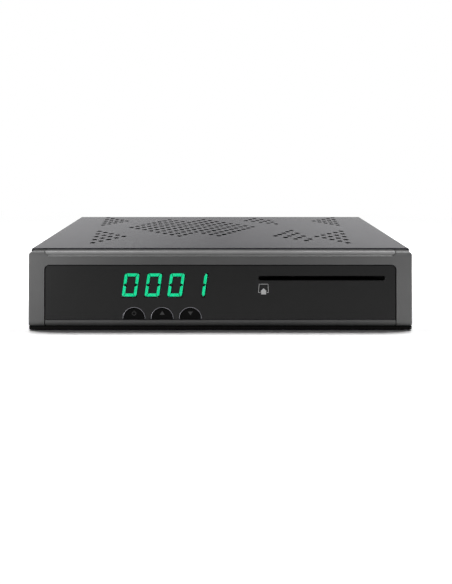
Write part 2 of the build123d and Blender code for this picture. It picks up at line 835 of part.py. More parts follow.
foot_number = 0
for side in (-1, 1):
    for y in (cover_front + foot_inset[1], rear_y - foot_inset[1]):
        foot_number += 1
        x = side * (tray_half - foot_inset[0])
        with BuildPart() as foot:
            rod((x, y, 0), (0, 0, 1), foot_radius, floor_bottom)
            fillet(foot.edges().group_by(Axis.Z)[0], plinth_bottom)
            rod((x, y, floor_bottom), (0, 0, 1), foot_stem - screw_fit, sheet)
            rod((x, y, floor_top), (0, 0, 1), *foot_head)
        foot.part.label = f"rubber_foot_{foot_number}"
        export_step(foot.part, f"parts/rubber_foot_{foot_number}.step")

# ---- Main board ----------------------------------------------------------------------------
pillar_points = [(x, y) for x in pillar_xs for y in pillar_ys]

with BuildPart() as board_pillars:
    for x, y in pillar_points:
        hexagon((x, y, floor_top), (0, 0, 1), pillar_across, pillar_height)
        rod(
            (x, y, board_bottom),
            (0, 0, -1),
            board_screw[0] + screw_fit,
            board_screw[1] - board_thick + touch,
            mode=Mode.SUBTRACT,
        )
board_pillars.part.label = "board_pillars"
export_step(board_pillars.part, "parts/board_pillars.step")

with BuildPart() as main_board:
    block(board_x, board_y, (board_bottom, board_top))
    for x, y in pillar_points:
        hole_radius = board_screw[0] + screw_slack
        rod((x, y, board_bottom), (0, 0, 1), hole_radius, board_thick, mode=Mode.SUBTRACT)
main_board.part.label = "main_board"
export_step(main_board.part, "parts/main_board.step")

with BuildPart() as board_screws:
    for x, y in pillar_points:
        rod((x, y, board_top), (0, 0, -1), board_screw[0], board_screw[1])
        rod((x, y, board_top), (0, 0, 1), board_screw[2], board_screw[3])
board_screws.part.label = "board_screws"
export_step(board_screws.part, "parts/board_screws.step")

# ---- Card reader ---------------------------------------------------------------------------
reader_length = 52.0
reader_back = carrier_back + reader_length
reader_height = 6.4
reader_wall = 1.4
funnel_depth = 8.0
card_width = 54.0
card_thick = 0.8
leg = 4.0
reader_z = (slot_centre[1] - reader_height / 2, slot_centre[1] + reader_height / 2)
contact_pitch = 2.54
contact_size = (1.2, 9.0, 0.5)
contact_first_row = 16.0  # inside the reader's mouth
contact_row_pitch = 11.0
contact_rows_y = (
    carrier_back + contact_first_row,
    carrier_back + contact_first_row + contact_row_pitch,
)

with BuildPart() as card_reader:
    reader_x = (slot_centre[0] - reader_half, slot_centre[0] + reader_half)
    block(reader_x, (carrier_back, reader_back), reader_z)
    # Card channel, and the funnel at its mouth
    channel_half = card_width / 2 + touch
    channel_z = (slot_centre[1] - card_thick, slot_centre[1] + card_thick)
    block(
        (slot_centre[0] - channel_half, slot_centre[0] + channel_half),
        (carrier_back, reader_back - reader_wall),
        channel_z,
        mode=Mode.SUBTRACT,
    )
    with BuildSketch(upright(carrier_back)):
        with Locations(slot_centre):
            Rectangle(slot_size[0] + 2 * touch, slot_size[1] + 2 * touch)
    with BuildSketch(upright(carrier_back + funnel_depth)):
        with Locations(slot_centre):
            Rectangle(2 * channel_half, 2 * card_thick)
    loft(mode=Mode.SUBTRACT)
    # Well for the contacts, open to the channel from below
    well_half = 2.5 * contact_pitch
    block(
        (slot_centre[0] - well_half, slot_centre[0] + well_half),
        (contact_rows_y[0] - touch, contact_rows_y[1] + contact_size[1] + touch),
        (channel_z[0] - contact_size[2] - slip, channel_z[0]),
        mode=Mode.SUBTRACT,
    )
    leg_ys = (board_y[0] + leg, reader_back - leg)
    for x in (reader_x[0] + leg, reader_x[1] - 2 * leg):
        for y in leg_ys:
            block((x, x + leg), (y, y + leg), (board_top, reader_z[0]))
card_reader.part.label = "card_reader"
export_step(card_reader.part, "parts/card_reader.step")

with BuildPart() as card_contacts:
    for y in contact_rows_y:
        for index in range(4):
            x = slot_centre[0] + (index - 1.5) * contact_pitch
            block(
                (x - contact_size[0] / 2, x + contact_size[0] / 2),
                (y, y + contact_size[1]),
                (channel_z[0] - contact_size[2] - slip, channel_z[0] - slip),
            )
card_contacts.part.label = "card_contacts"
export_step(card_contacts.part, "parts/card_contacts.step")

# ---- Parts on the main board ---------------------------------------------------------------


def on_board(x, y, height, mode=Mode.ADD):
    """A box that stands on the main board."""
    block(x, y, (board_top, board_top + height), mode=mode)


with BuildPart() as tuner_can:
    on_board(tuner_x, tuner_y, tuner_height)
    fillet(tuner_can.edges().filter_by(Axis.Z), sheet)
tuner_can.part.label = "tuner_can"
export_step(tuner_can.part, "parts/tuner_can.step")

for label, x in aerial_xs.items():
    with BuildPart() as aerial_socket:
        start = (x, tuner_y[1], aerial_z)
        tip_y = wall_back + connector_reach
        rod(start, (0, 1, 0), *aerial_collar)
        rod(start, (0, 1, 0), thread_radius - thread_relief, tip_y - tuner_y[1])
        thread_length = connector_reach - nut_thick - touch
        rod((x, tip_y, aerial_z), (0, -1, 0), thread_radius, thread_length)
        chamfer(aerial_socket.edges().group_by(Axis.Y)[-1], sheet)
        rod((x, tip_y, aerial_z), (0, -1, 0), aerial_core, thread_length, mode=Mode.SUBTRACT)
    aerial_socket.part.label = label
    export_step(aerial_socket.part, f"parts/{label}.step")

with BuildPart() as aerial_nuts:
    for x in aerial_xs.values():
        hexagon((x, wall_back, aerial_z), (0, 1, 0), nut_across, nut_thick)
        nut_radius = thread_radius - thread_relief + screw_fit
        rod((x, wall_back, aerial_z), (0, 1, 0), nut_radius, nut_thick, mode=Mode.SUBTRACT)
aerial_nuts.part.label = "aerial_nuts"
export_step(aerial_nuts.part, "parts/aerial_nuts.step")

with BuildPart() as hdmi_socket:
    hdmi_z = (board_top, board_top + hdmi_lift + hdmi_size[2])
    block(
        (hdmi_x - hdmi_size[0] / 2, hdmi_x + hdmi_size[0] / 2),
        (wall_back - hdmi_size[1], wall_back),
        (board_top, hdmi_z[1]),
    )
    with BuildSketch(upright(wall_back)) as mouth:
        with Locations((hdmi_x, (board_top + hdmi_lift + hdmi_z[1]) / 2)):
            Rectangle(hdmi_size[0] - 2 * hdmi_wall, hdmi_size[2] - 2 * hdmi_wall)
        chamfer(mouth.vertices().group_by(Axis.Y)[0], hdmi_wall * 3)
    extrude(amount=hdmi_size[1] - 2 * hdmi_wall, mode=Mode.SUBTRACT)
hdmi_socket.part.label = "hdmi_socket"
export_step(hdmi_socket.part, "parts/hdmi_socket.step")

with BuildPart() as hdmi_tongue:
    block(
        (hdmi_x - hdmi_size[0] / 2 + 3 * hdmi_wall, hdmi_x + hdmi_size[0] / 2 - 3 * hdmi_wall),
        (wall_back - hdmi_size[1] + 2 * hdmi_wall, wall_back - 2 * hdmi_wall),
        (hdmi_z[1] - hdmi_size[2] / 2, hdmi_z[1] - hdmi_size[2] / 2 + 2 * hdmi_wall),
    )
hdmi_tongue.part.label = "hdmi_tongue"
export_step(hdmi_tongue.part, "parts/hdmi_tongue.step")

with BuildPart() as usb_socket:
    usb_top = board_top + hdmi_lift + usb_size[2]
    block(
        (usb_x - usb_size[0] / 2, usb_x + usb_size[0] / 2),
        (wall_back - usb_size[1], wall_back),
        (board_top, usb_top),
    )
    block(
        (usb_x - usb_size[0] / 2 + usb_wall, usb_x + usb_size[0] / 2 - usb_wall),
        (wall_back - usb_size[1] + 2 * usb_wall, wall_back),
        (board_top + hdmi_lift + usb_wall, usb_top - usb_wall),
        mode=Mode.SUBTRACT,
    )
usb_socket.part.label = "usb_socket"
export_step(usb_socket.part, "parts/usb_socket.step")

with BuildPart() as usb_tongue:
    block(
        (usb_x - usb_size[0] / 2 + 3 * usb_wall, usb_x + usb_size[0] / 2 - 3 * usb_wall),
        (wall_back - usb_size[1] + 2 * usb_wall, wall_back - 2 * usb_wall),
        (usb_top - 2 * usb_wall - usb_tongue_thick, usb_top - 2 * usb_wall),
    )
usb_tongue.part.label = "usb_tongue"
export_step(usb_tongue.part, "parts/usb_tongue.step")


def scart_outline(grow):
    """The socket's mouth: a wide rectangle with one lower corner cut away."""
    with BuildSketch(upright(wall_back + scart_lip)) as shape:
        with Locations((scart_x, board_top + scart_size[2] / 2)):
            Rectangle(scart_mouth[0] + 2 * grow, scart_mouth[1] + 2 * grow)
        chamfer(shape.vertices().group_by(Axis.Y)[0].sort_by(Axis.X)[0], scart_corner)
    return shape.sketch


with BuildPart() as scart_socket:
    on_board(
        (scart_x - scart_size[0] / 2, scart_x + scart_size[0] / 2),
        (wall_back - scart_size[1], wall_front),
        scart_size[2],
    )
    extrude(scart_outline(-cut), amount=scart_lip + scart_size[1] / 2)
    extrude(scart_outline(-cut - scart_wall), amount=scart_depth, mode=Mode.SUBTRACT)
scart_socket.part.label = "scart_socket"
export_step(scart_socket.part, "parts/scart_socket.step")

with BuildPart() as scart_core:
    core_back = wall_back + scart_lip - scart_depth
    with BuildSketch(upright(core_back)):
        with Locations((scart_x, board_top + scart_size[2] / 2)):
            Rectangle(*scart_core_size)
    extrude(amount=-(scart_depth - scart_lip))
    # Two staggered rows of contact slots
    with BuildSketch(upright(wall_back)):
        for row in (-1, 1):
            row_centre = (scart_x + row * scart_pitch / 4, board_top + scart_size[2] / 2 + row * scart_row)
            with Locations(row_centre):
                with GridLocations(scart_pitch, 1, scart_slot_count, 1):
                    Rectangle(*scart_slot)
    extrude(amount=scart_depth / 2, mode=Mode.SUBTRACT)
scart_core.part.label = "scart_core"
export_step(scart_core.part, "parts/scart_core.step")

phono_points = [(x, z) for x in phono_xs for z in phono_zs]

with BuildPart() as phono_housing:
    on_board(
        (phono_middle - phono_block[0] / 2, phono_middle + phono_block[0] / 2),
        (wall_front - phono_block[1], wall_front),
        phono_block[2],
    )
phono_housing.part.label = "phono_housing"
export_step(phono_housing.part, "parts/phono_housing.step")

with BuildPart() as phono_shells:
    shell_length = sheet + phono_reach
    for x, z in phono_points:
        rod((x, wall_front, z), (0, 1, 0), phono_shell - phono_relief, shell_length)
        free_length = phono_reach - phono_collar[1] - touch
        rod((x, wall_back + phono_reach, z), (0, -1, 0), phono_shell, free_length)
        rod((x, wall_front, z), (0, 1, 0), phono_bore, shell_length, mode=Mode.SUBTRACT)
phono_shells.part.label = "phono_shells"
export_step(phono_shells.part, "parts/phono_shells.step")

for label, (x, z) in zip(phono_names, phono_points):
    with BuildPart() as phono:
        # Coloured collar round the shell, and the insulator inside it
        collar_length = sheet + phono_collar[1]
        rod((x, wall_front, z), (0, 1, 0), phono_collar[0], collar_length)
        collar_bore = phono_shell - phono_relief + screw_fit
        rod((x, wall_front, z), (0, 1, 0), collar_bore, collar_length, mode=Mode.SUBTRACT)
        rod((x, wall_front, z), (0, 1, 0), phono_bore - screw_fit, shell_length - phono_pin / 2)
        rod((x, wall_front, z), (0, 1, 0), phono_pin, shell_length, mode=Mode.SUBTRACT)
    phono.part.label = label
    export_step(phono.part, f"parts/{label}.step")

optical_low = board_top + (optical_size[2] - optical_mouth[1]) / 2
optical_high = optical_low + optical_mouth[1]
shutter_y = wall_front - touch - shutter_thick / 2
shutter_pivot_z = optical_high - touch - shutter_thick / 2

with BuildPart() as optical_socket:
    on_board(
        (optical_x - optical_size[0] / 2, optical_x + optical_size[0] / 2),
        (wall_front - optical_size[1], wall_front),
        optical_size[2],
    )
    block(
        (optical_x - optical_mouth[0] / 2, optical_x + optical_mouth[0] / 2),
        (wall_front - optical_depth, wall_front),
        (optical_low, optical_high),
        mode=Mode.SUBTRACT,
    )
    pivot_half = optical_mouth[0] / 2 + shutter_seat
    rod(
        (optical_x - pivot_half, shutter_y, shutter_pivot_z),
        (1, 0, 0),
        shutter_pin + screw_fit,
        2 * pivot_half,
        mode=Mode.SUBTRACT,
    )
optical_socket.part.label = "optical_socket"
export_step(optical_socket.part, "parts/optical_socket.step")

with BuildPart() as optical_shutter:
    flap_half = optical_mouth[0] / 2 - touch
    flap = (optical_x - flap_half, optical_x + flap_half)
    flap_y = (shutter_y - shutter_thick / 2, shutter_y + shutter_thick / 2)
    block(flap, flap_y, (optical_low + touch, shutter_pivot_z))
    rod((flap[0], shutter_y, shutter_pivot_z), (1, 0, 0), shutter_thick / 2, 2 * flap_half)
    pin_half = pivot_half - screw_fit
    rod((optical_x - pin_half, shutter_y, shutter_pivot_z), (1, 0, 0), shutter_pin, 2 * pin_half)
optical_shutter.part.label = "optical_shutter"
export_step(optical_shutter.part, "parts/optical_shutter.step")

with BuildPart() as power_jack:
    power_z = board_top + power_size[2] / 2
    on_board(
        (power_x - power_size[0] / 2, power_x + power_size[0] / 2),
        (wall_front - power_size[1], wall_front),
        power_size[2],
    )
    rod((power_x, wall_front, power_z), (0, -1, 0), power_bore, power_depth, mode=Mode.SUBTRACT)
power_jack.part.label = "power_jack"
export_step(power_jack.part, "parts/power_jack.step")

with BuildPart() as power_pin_contact:
    rod((power_x, wall_front - power_depth, power_z), (0, 1, 0), power_pin, power_depth - power_pin)
    fillet(power_pin_contact.edges().group_by(Axis.Y)[-1], power_pin / 2)
power_pin_contact.part.label = "power_pin"
export_step(power_pin_contact.part, "parts/power_pin.step")

# ---- Rocker switch in the rear wall --------------------------------------------------------
cavity = (rocker_body[0] - 2 * rocker_wall, rocker_body[1] - 2 * rocker_wall)
rocker_radius = cavity[1] / 2 - touch
pivot_y = wall_back + rocker_bezel[2] - rocker_rise
rest_turn = rocker_swing / 2

with BuildPart() as rocker_housing:
    body_x = (rocker_x - rocker_body[0] / 2, rocker_x + rocker_body[0] / 2)
    body_z = (rocker_z - rocker_body[1] / 2, rocker_z + rocker_body[1] / 2)
    block(body_x, (wall_back - rocker_body[2], wall_back), body_z)
    block(
        (rocker_x - rocker_bezel[0] / 2, rocker_x + rocker_bezel[0] / 2),
        (wall_back, wall_back + rocker_bezel[2]),
        (rocker_z - rocker_bezel[1] / 2, rocker_z + rocker_bezel[1] / 2),
    )
    bezel_rim = rocker_housing.edges().group_by(Axis.Y)[-1]
    chamfer(bezel_rim, rocker_bezel[2] / 3)
    block(
        (rocker_x - cavity[0] / 2, rocker_x + cavity[0] / 2),
        (pivot_y - rocker_radius - touch, wall_back + rocker_bezel[2]),
        (rocker_z - cavity[1] / 2, rocker_z + cavity[1] / 2),
        mode=Mode.SUBTRACT,
    )
    rod(
        (rocker_x - cavity[0] / 2 - rocker_seat, pivot_y, rocker_z),
        (1, 0, 0),
        rocker_pin + screw_fit,
        cavity[0] + 2 * rocker_seat,
        mode=Mode.SUBTRACT,
    )
rocker_housing.part.label = "rocker_housing"
export_step(rocker_housing.part, "parts/rocker_housing.step")

with BuildPart() as power_rocker:
    rocker_half = cavity[0] / 2 - touch
    with BuildSketch(Plane.YZ.offset(rocker_x - rocker_half)) as rocker_section:
        with Locations((pivot_y, rocker_z)):
            Circle(rocker_radius)
        # The face is a shallow valley; at rest the lower half is pressed in
        valley_depth = rocker_radius * sin(radians(rest_turn))
        with BuildLine(Plane.XY.move(Location((pivot_y, rocker_z, 0), (0, 0, -rest_turn)))):
            Polyline(
                (-rocker_radius / 2, -rocker_radius),
                (rocker_rise + valley_depth, -rocker_radius),
                (rocker_rise, 0),
                (rocker_rise + valley_depth, rocker_radius),
                (-rocker_radius / 2, rocker_radius),
                close=True,
            )
        make_face(mode=Mode.INTERSECT)
    extrude(amount=2 * rocker_half)
    rocker_pin_half = cavity[0] / 2 + rocker_seat - screw_fit
    rod((rocker_x - rocker_pin_half, pivot_y, rocker_z), (1, 0, 0), rocker_pin, 2 * rocker_pin_half)
power_rocker.part.label = "power_rocker"
export_step(power_rocker.part, "parts/power_rocker.step")

# ---- Electronics on the main board ---------------------------------------------------------
processor_shift = -12.0
processor_depth = 96.0
processor_centre = (processor_shift, deep(processor_depth))
processor_size = (27.0, 2.2)
heatsink_size = (34.0, 12.0)
heatsink_base = 2.4
fin_thick = 1.2
fin_count = 8

with BuildPart() as processor:
    with BuildSketch(Plane.XY.offset(board_top)):
        with Locations(processor_centre):
            Rectangle(processor_size[0], processor_size[0])
    extrude(amount=processor_size[1])
processor.part.label = "processor"
export_step(processor.part, "parts/processor.step")

with BuildPart() as heatsink:
    heatsink_low = board_top + processor_size[1]
    with BuildSketch(Plane.XY.offset(heatsink_low)):
        with Locations(processor_centre):
            Rectangle(heatsink_size[0], heatsink_size[0])
    extrude(amount=heatsink_base)
    fin_pitch = (heatsink_size[0] - fin_thick) / (fin_count - 1)
    with BuildSketch(Plane.XY.offset(heatsink_low + heatsink_base)):
        with Locations(processor_centre):
            with GridLocations(fin_pitch, 1, fin_count, 1):
                Rectangle(fin_thick, heatsink_size[0])
    extrude(amount=heatsink_size[1] - heatsink_base)
heatsink.part.label = "heatsink"
export_step(heatsink.part, "parts/heatsink.step")

memory_size = (11.0, 18.4, 1.2)
memory_reach = 28.0
memory_pitch = 22.0
memory_places = (
    (processor_centre[0] - memory_reach, processor_centre[1] - memory_pitch / 2),
    (processor_centre[0] - memory_reach, processor_centre[1] + memory_pitch / 2),
    (processor_centre[0] + memory_reach, processor_centre[1]),
)

with BuildPart() as memory_chips:
    with BuildSketch(Plane.XY.offset(board_top)):
        with Locations(*memory_places):
            Rectangle(memory_size[0], memory_size[1])
    extrude(amount=memory_size[2])
memory_chips.part.label = "memory_chips"
export_step(memory_chips.part, "parts/memory_chips.step")

capacitor_radius = 4.0
capacitor_height = 11.5
capacitor_pitch = (12.0, 13.0)
capacitor_inset = 31.0
capacitor_depth = 84.0
capacitor_centre = (board_half - capacitor_inset, deep(capacitor_depth))
capacitor_columns = 3
capacitor_rows = 2

with BuildPart() as capacitors:
    with BuildSketch(Plane.XY.offset(board_top)):
        with Locations(capacitor_centre):
            with GridLocations(*capacitor_pitch, capacitor_columns, capacitor_rows):
                Circle(capacitor_radius)
    extrude(amount=capacitor_height)
    fillet(capacitors.edges().group_by(Axis.Z)[-1], capacitor_radius / 8)
capacitors.part.label = "capacitors"
export_step(capacitors.part, "parts/capacitors.step")

coil_size = (12.0, 6.0)
coil_pitch = 18.0
coil_depth = 112.0
coil_places = [
    (board_half - capacitor_inset + side * coil_pitch / 2, deep(coil_depth)) for side in (-1, 1)
]

with BuildPart() as power_coils:
    with BuildSketch(Plane.XY.offset(board_top)):
        with Locations(*coil_places):
            RectangleRounded(coil_size[0], coil_size[0], coil_size[0] / 4)
    extrude(amount=coil_size[1])
power_coils.part.label = "power_coils"
export_step(power_coils.part, "parts/power_coils.step")
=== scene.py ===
"""A small satellite television receiver: its finishes, fine parts, light and camera."""
import math

import bmesh
import bpy
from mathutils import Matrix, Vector
from mathutils.bvhtree import BVHTree


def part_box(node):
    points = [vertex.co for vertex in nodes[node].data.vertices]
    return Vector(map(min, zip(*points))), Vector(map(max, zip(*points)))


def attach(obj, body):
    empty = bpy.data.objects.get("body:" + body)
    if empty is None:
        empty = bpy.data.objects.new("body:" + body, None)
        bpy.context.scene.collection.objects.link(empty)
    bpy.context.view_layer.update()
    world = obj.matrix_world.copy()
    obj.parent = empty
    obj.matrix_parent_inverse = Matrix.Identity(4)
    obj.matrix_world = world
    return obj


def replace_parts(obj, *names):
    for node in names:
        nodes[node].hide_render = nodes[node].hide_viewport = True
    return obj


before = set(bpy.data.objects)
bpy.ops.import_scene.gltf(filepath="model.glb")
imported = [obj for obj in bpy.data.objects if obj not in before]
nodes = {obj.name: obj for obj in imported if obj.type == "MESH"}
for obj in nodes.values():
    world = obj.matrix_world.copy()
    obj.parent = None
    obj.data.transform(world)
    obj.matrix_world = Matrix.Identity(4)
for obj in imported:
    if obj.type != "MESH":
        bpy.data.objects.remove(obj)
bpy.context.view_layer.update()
MM = 0.001

# ---- Camera --------------------------------------------------------------------------------
lens = bpy.data.cameras.new("camera")
lens.lens = 47.47
lens.shift_x = 0.0097
lens.shift_y = -0.2772
camera = bpy.data.objects.new("camera", lens)
bpy.context.scene.collection.objects.link(camera)
camera.location = (0, -0.5293, 0.115)
camera.rotation_euler = (math.radians(90), 0, 0)
bpy.context.scene.camera = camera
bpy.context.scene.view_settings.view_transform = "Standard"

# ---- Colours and nodes ---------------------------------------------------------------------


def colour(code):
    """An sRGB hex colour as linear red, green, blue and alpha."""
    parts = [int(code[i : i + 2], 16) / 255 for i in (1, 3, 5)]
    return (*[c / 12.92 if c <= 0.04045 else ((c + 0.055) / 1.055) ** 2.4 for c in parts], 1)


WHITE = colour("#ffffff")


def put(tree, kind, inputs=None, **settings):
    """Adds one node; inputs are values or the outputs that feed it, settings its own properties."""
    made = tree.nodes.new(kind)
    for name, value in settings.items():
        setattr(made, name, value)
    for name, value in (inputs or {}).items():
        if isinstance(value, bpy.types.NodeSocket):
            tree.links.new(value, made.inputs[name])
        else:
            made.inputs[name].default_value = value
    return made


def maths(tree, operation, *values, **settings):
    """The result of one sum."""
    inputs = dict(enumerate(values))
    return put(tree, "ShaderNodeMath", inputs, operation=operation, **settings).outputs[0]


def vectors(tree, operation, *values):
    """The vector that comes out of one sum with vectors."""
    inputs = dict(enumerate(values))
    return put(tree, "ShaderNodeVectorMath", inputs, operation=operation).outputs["Vector"]


def split(tree, vector):
    """The X, Y and Z of a vector."""
    return put(tree, "ShaderNodeSeparateXYZ", {0: vector}).outputs


def ranged(tree, value, low, high, start=0.0, end=1.0, **settings):
    """Carries a value between start and end to one between low and high."""
    inputs = {"Value": value, "From Min": start, "From Max": end, "To Min": low, "To Max": high}
    return put(tree, "ShaderNodeMapRange", inputs, **settings).outputs["Result"]


def per(size):
    """The texture scale that gives one feature in a size in mm."""
    return 1000 / size


def noise(tree, place, size, detail):
    """Noise with features of a size in mm."""
    inputs = {"Vector": place, "Scale": per(size), "Detail": detail}
    return put(tree, "ShaderNodeTexNoise", inputs).outputs["Fac"]


def two_tones(tree, factor, low, high, at=(0.3, 0.7)):
    """A ramp from one colour to another."""
    ramp = put(tree, "ShaderNodeValToRGB", {"Fac": factor})
    for element, place, code in zip(ramp.color_ramp.elements, at, (low, high)):
        element.position = place
        element.color = colour(code)
    return ramp.outputs["Color"]


def blended(tree, factor, one, other):
    """A colour between two others."""
    inputs = {"Factor": factor, 6: one, 7: other}
    return put(tree, "ShaderNodeMix", inputs, data_type="RGBA").outputs[2]


def bumped(tree, height, distance, strength):
    """A normal that follows a height over a distance in mm."""
    inputs = {"Height": height, "Distance": distance * MM, "Strength": strength}
    return put(tree, "ShaderNodeBump", inputs).outputs["Normal"]


def new_material(name):
    """An empty material, its tree and its Object coordinates, in metres."""
    material = bpy.data.materials.new(name)
    material.use_nodes = True
    material.node_tree.nodes.clear()
    tree = material.node_tree
    return material, tree, put(tree, "ShaderNodeTexCoord").outputs["Object"]


def principled(tree, inputs):
    """A surface with the named inputs."""
    return put(tree, "ShaderNodeBsdfPrincipled", inputs).outputs["BSDF"]


def close(tree, shader):
    """Ends a material."""
    put(tree, "ShaderNodeOutputMaterial", {"Surface": shader})


def inside(tree, place, low, high, axes):
    """1 where Object coordinates lie inside a box along the named axes, and 0 elsewhere."""
    centred = vectors(tree, "SUBTRACT", place, (low + high) / 2)
    away = split(tree, vectors(tree, "ABSOLUTE", centred))
    share = 1.0
    for axis in axes:
        k = "XYZ".index(axis)
        within = maths(tree, "LESS_THAN", away[axis], (high[k] - low[k]) / 2)
        share = maths(tree, "MULTIPLY", within, share)
    return share


def moulded(
    name, low, high, roughness, grain=0.35, depth=0.012, specular=0.5, coat=0.0, bevel=None
):
    """Injection-moulded plastic: a spark-eroded grain, and faint uneven gloss.

    grain and depth are in mm; bevel, when given, is a lighter colour painted on the faces
    sloping halfway between the front and the top: a painted highlight along such edges.
    """
    material, tree, place = new_material(name)
    tint = two_tones(tree, noise(tree, place, 26, 3), low, high)
    if bevel:
        # Painted highlight: faces tilted halfway between the front and the top take a lighter
        # colour
        halfway, margin = 0.7071, 0.01
        normal = put(tree, "ShaderNodeNewGeometry").outputs["True Normal"]
        highlight_slope = maths(tree, "COMPARE", split(tree, normal)["Z"], halfway, margin)
        tint = blended(tree, highlight_slope, tint, colour(bevel))
    smear = noise(tree, place, 9, 5)
    pits = noise(tree, place, grain, 2)
    shell = {
        "Base Color": tint,
        "Roughness": ranged(tree, smear, roughness - 0.05, roughness + 0.05),
        "Normal": bumped(tree, pits, depth, 0.5),
        "Specular IOR Level": specular,
        "Coat Weight": coat,
        "Coat Roughness": 0.2,
    }
    close(tree, principled(tree, shell))
    return material


def plated(name, low, high, roughness, grain, stretch=(1, 1, 1)):
    """Bare or plated metal: drawn or rolled grain, longer along the axes that stretch shrinks."""
    material, tree, place = new_material(name)
    along = put(tree, "ShaderNodeMapping", {"Vector": place, "Scale": stretch}).outputs["Vector"]
    lines = noise(tree, along, grain, 4)
    metal = {
        "Base Color": two_tones(tree, lines, low, high),
        "Metallic": 1.0,
        "Roughness": ranged(tree, lines, roughness - 0.06, roughness + 0.08),
        "Normal": bumped(tree, lines, 0.01, 0.4),
    }
    close(tree, principled(tree, metal))
    return material


# ---- Materials -----------------------------------------------------------------------------
# Satin grey ABS: the fascia's cheeks and band, with a fine even grain, and a painted highlight on
# its sloped edges, such as the top edge of the band
satin_abs = moulded("satin_grey_abs", "#5c5c5c", "#626262", 0.4, specular=0.4, bevel="#b8b8b8")
# The trim bar is the same ABS, a shade lighter, under a clear satin lacquer
lacquered_abs = moulded("lacquered_grey_abs", "#747474", "#7a7a7a", 0.34, specular=0.5, coat=0.1)
# The lip below the window is a shade darker and duller
lip_abs = moulded("lip_grey_abs", "#4a4a4a", "#505050", 0.45, specular=0.4)
# Satin chrome of the thin rounded rims above the push buttons
ring_metal = plated("satin_chrome", "#6e6e72", "#7a7a7e", 0.24, 0.3)
# Black ABS of the inner mouldings and the sockets
black_abs = moulded("black_abs", "#0d0d0d", "#141414", 0.48, specular=0.3)
# The same ABS, matt and near black, behind the window, under the lip and inside the card slot: the
# near-black colour is painted shade for these recesses
shade_black_abs = moulded("matt_black_abs", "#050505", "#080808", 0.8, specular=0.1)
# Polished black caps of the push buttons
polished_abs = moulded("polished_black_abs", "#040404", "#070707", 0.2, depth=0.003, specular=0.05)
# Switch bodies and plungers in dark nylon
dark_nylon = moulded("dark_nylon", "#1d1d1e", "#252526", 0.55)
# Feet in matt black rubber, faintly dusty
foot_rubber = moulded(
    "black_rubber", "#101010", "#1b1b1a", 0.8, grain=0.6, depth=0.03, specular=0.25
)
# Epoxy of the chips and the moulded coils
chip_epoxy = moulded("chip_epoxy", "#131315", "#1a1a1c", 0.6, grain=0.15)
# Contact carriers in the data sockets
tongue_nylon = moulded("black_nylon", "#0e0e0f", "#151516", 0.5)
# Shrunk film on the capacitors: black, with a tight gloss
capacitor_sleeve = moulded("shrink_sleeve", "#0e1016", "#151822", 0.25, depth=0.006)
# Colour-coded socket collars in glossy polypropylene
white_collar = moulded("white_polypropylene", "#dcdcd8", "#e6e6e2", 0.3, depth=0.004)
red_collar = moulded("red_polypropylene", "#a80e12", "#b51418", 0.3, depth=0.004)
yellow_collar = moulded("yellow_polypropylene", "#d9a90c", "#e3b414", 0.3, depth=0.004)
orange_collar = moulded("orange_polypropylene", "#d2560b", "#dc6012", 0.3, depth=0.004)
# Nickel plating on the sockets: bright, slightly warm, with turning marks round Y
nickel = plated("nickel_plate", "#b9b6ae", "#cfccc4", 0.24, 0.25, (0.15, 4, 0.15))
# Tinned steel of the tuner's can, rolled along X
tin_plate = plated("tin_plate", "#a9abad", "#c0c2c4", 0.3, 0.8, (0.1, 1, 1))
# Zinc on the screws of the boards
zinc_plate = plated("zinc_plate", "#9da0a3", "#b7babd", 0.32, 0.4)
# Black oxide on the screws of the cover
black_oxide = plated("black_oxide_steel", "#1c1c1e", "#29292b", 0.4, 0.4)
# Turned brass of the pillars under the main board
turned_brass = plated("turned_brass", "#a98245", "#c39b58", 0.3, 0.25, (1, 1, 6))
# White insulator in the aerial sockets, waxy and even
white_insulator = moulded("white_ptfe", "#d6d6d2", "#e0e0dc", 0.45, depth=0.003)
# Gold flash on the contacts
contact_gold = plated("gold_flash", "#c79c46", "#ddb45e", 0.25, 0.3)
# Extruded and anodised aluminium of the heatsink
anodised = plated("anodised_aluminium", "#85888b", "#999c9f", 0.45, 0.3, (1, 0.05, 1))
# Unlit segments: dark diffuser film
unlit_film = moulded("unlit_diffuser", "#101312", "#141816", 0.4, grain=0.2)
# Screen-printed inks
white_ink = moulded("white_screen_ink", "#dadada", "#e6e6e6", 0.5, grain=0.12, depth=0.004)
grey_ink = moulded("grey_screen_ink", "#1c1c1c", "#222222", 0.5, grain=0.12, depth=0.004)


def painted_cover():
    """Folded steel under graphite powder paint: a fine orange-peel skin with a satin gloss.

    The upright walls of the vents are near black: painted shade for the dark inside of the holes.
    """
    material, tree, place = new_material("graphite_powder_paint")
    painted = two_tones(tree, noise(tree, place, 40, 3), "#39383d", "#3e3d42")
    # An upright face inside the folded edges of the lid is a vent's wall, which gets painted shade
    low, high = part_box("top_cover")
    margin = Vector((5, 3, 0)) * MM
    lid = inside(tree, place, low + margin, high - margin, "XY")
    normal = put(tree, "ShaderNodeNewGeometry").outputs["True Normal"]
    upright = maths(tree, "COMPARE", split(tree, normal)["Z"], 0, 0.5)
    hole_shade = maths(tree, "MULTIPLY", upright, lid)
    peel, fleck = noise(tree, place, 0.9, 3), noise(tree, place, 0.3, 1)
    paint = {
        # Painted shade: the vent walls are near black in place of the paint
        "Base Color": blended(tree, hole_shade, painted, colour("#0a0a0a")),
        "Roughness": ranged(tree, fleck, 0.2, 0.28),
        "Normal": bumped(tree, maths(tree, "ADD", peel, fleck), 0.02, 0.5),
        "Specular IOR Level": 0.2,
    }
    close(tree, principled(tree, paint))
    return material


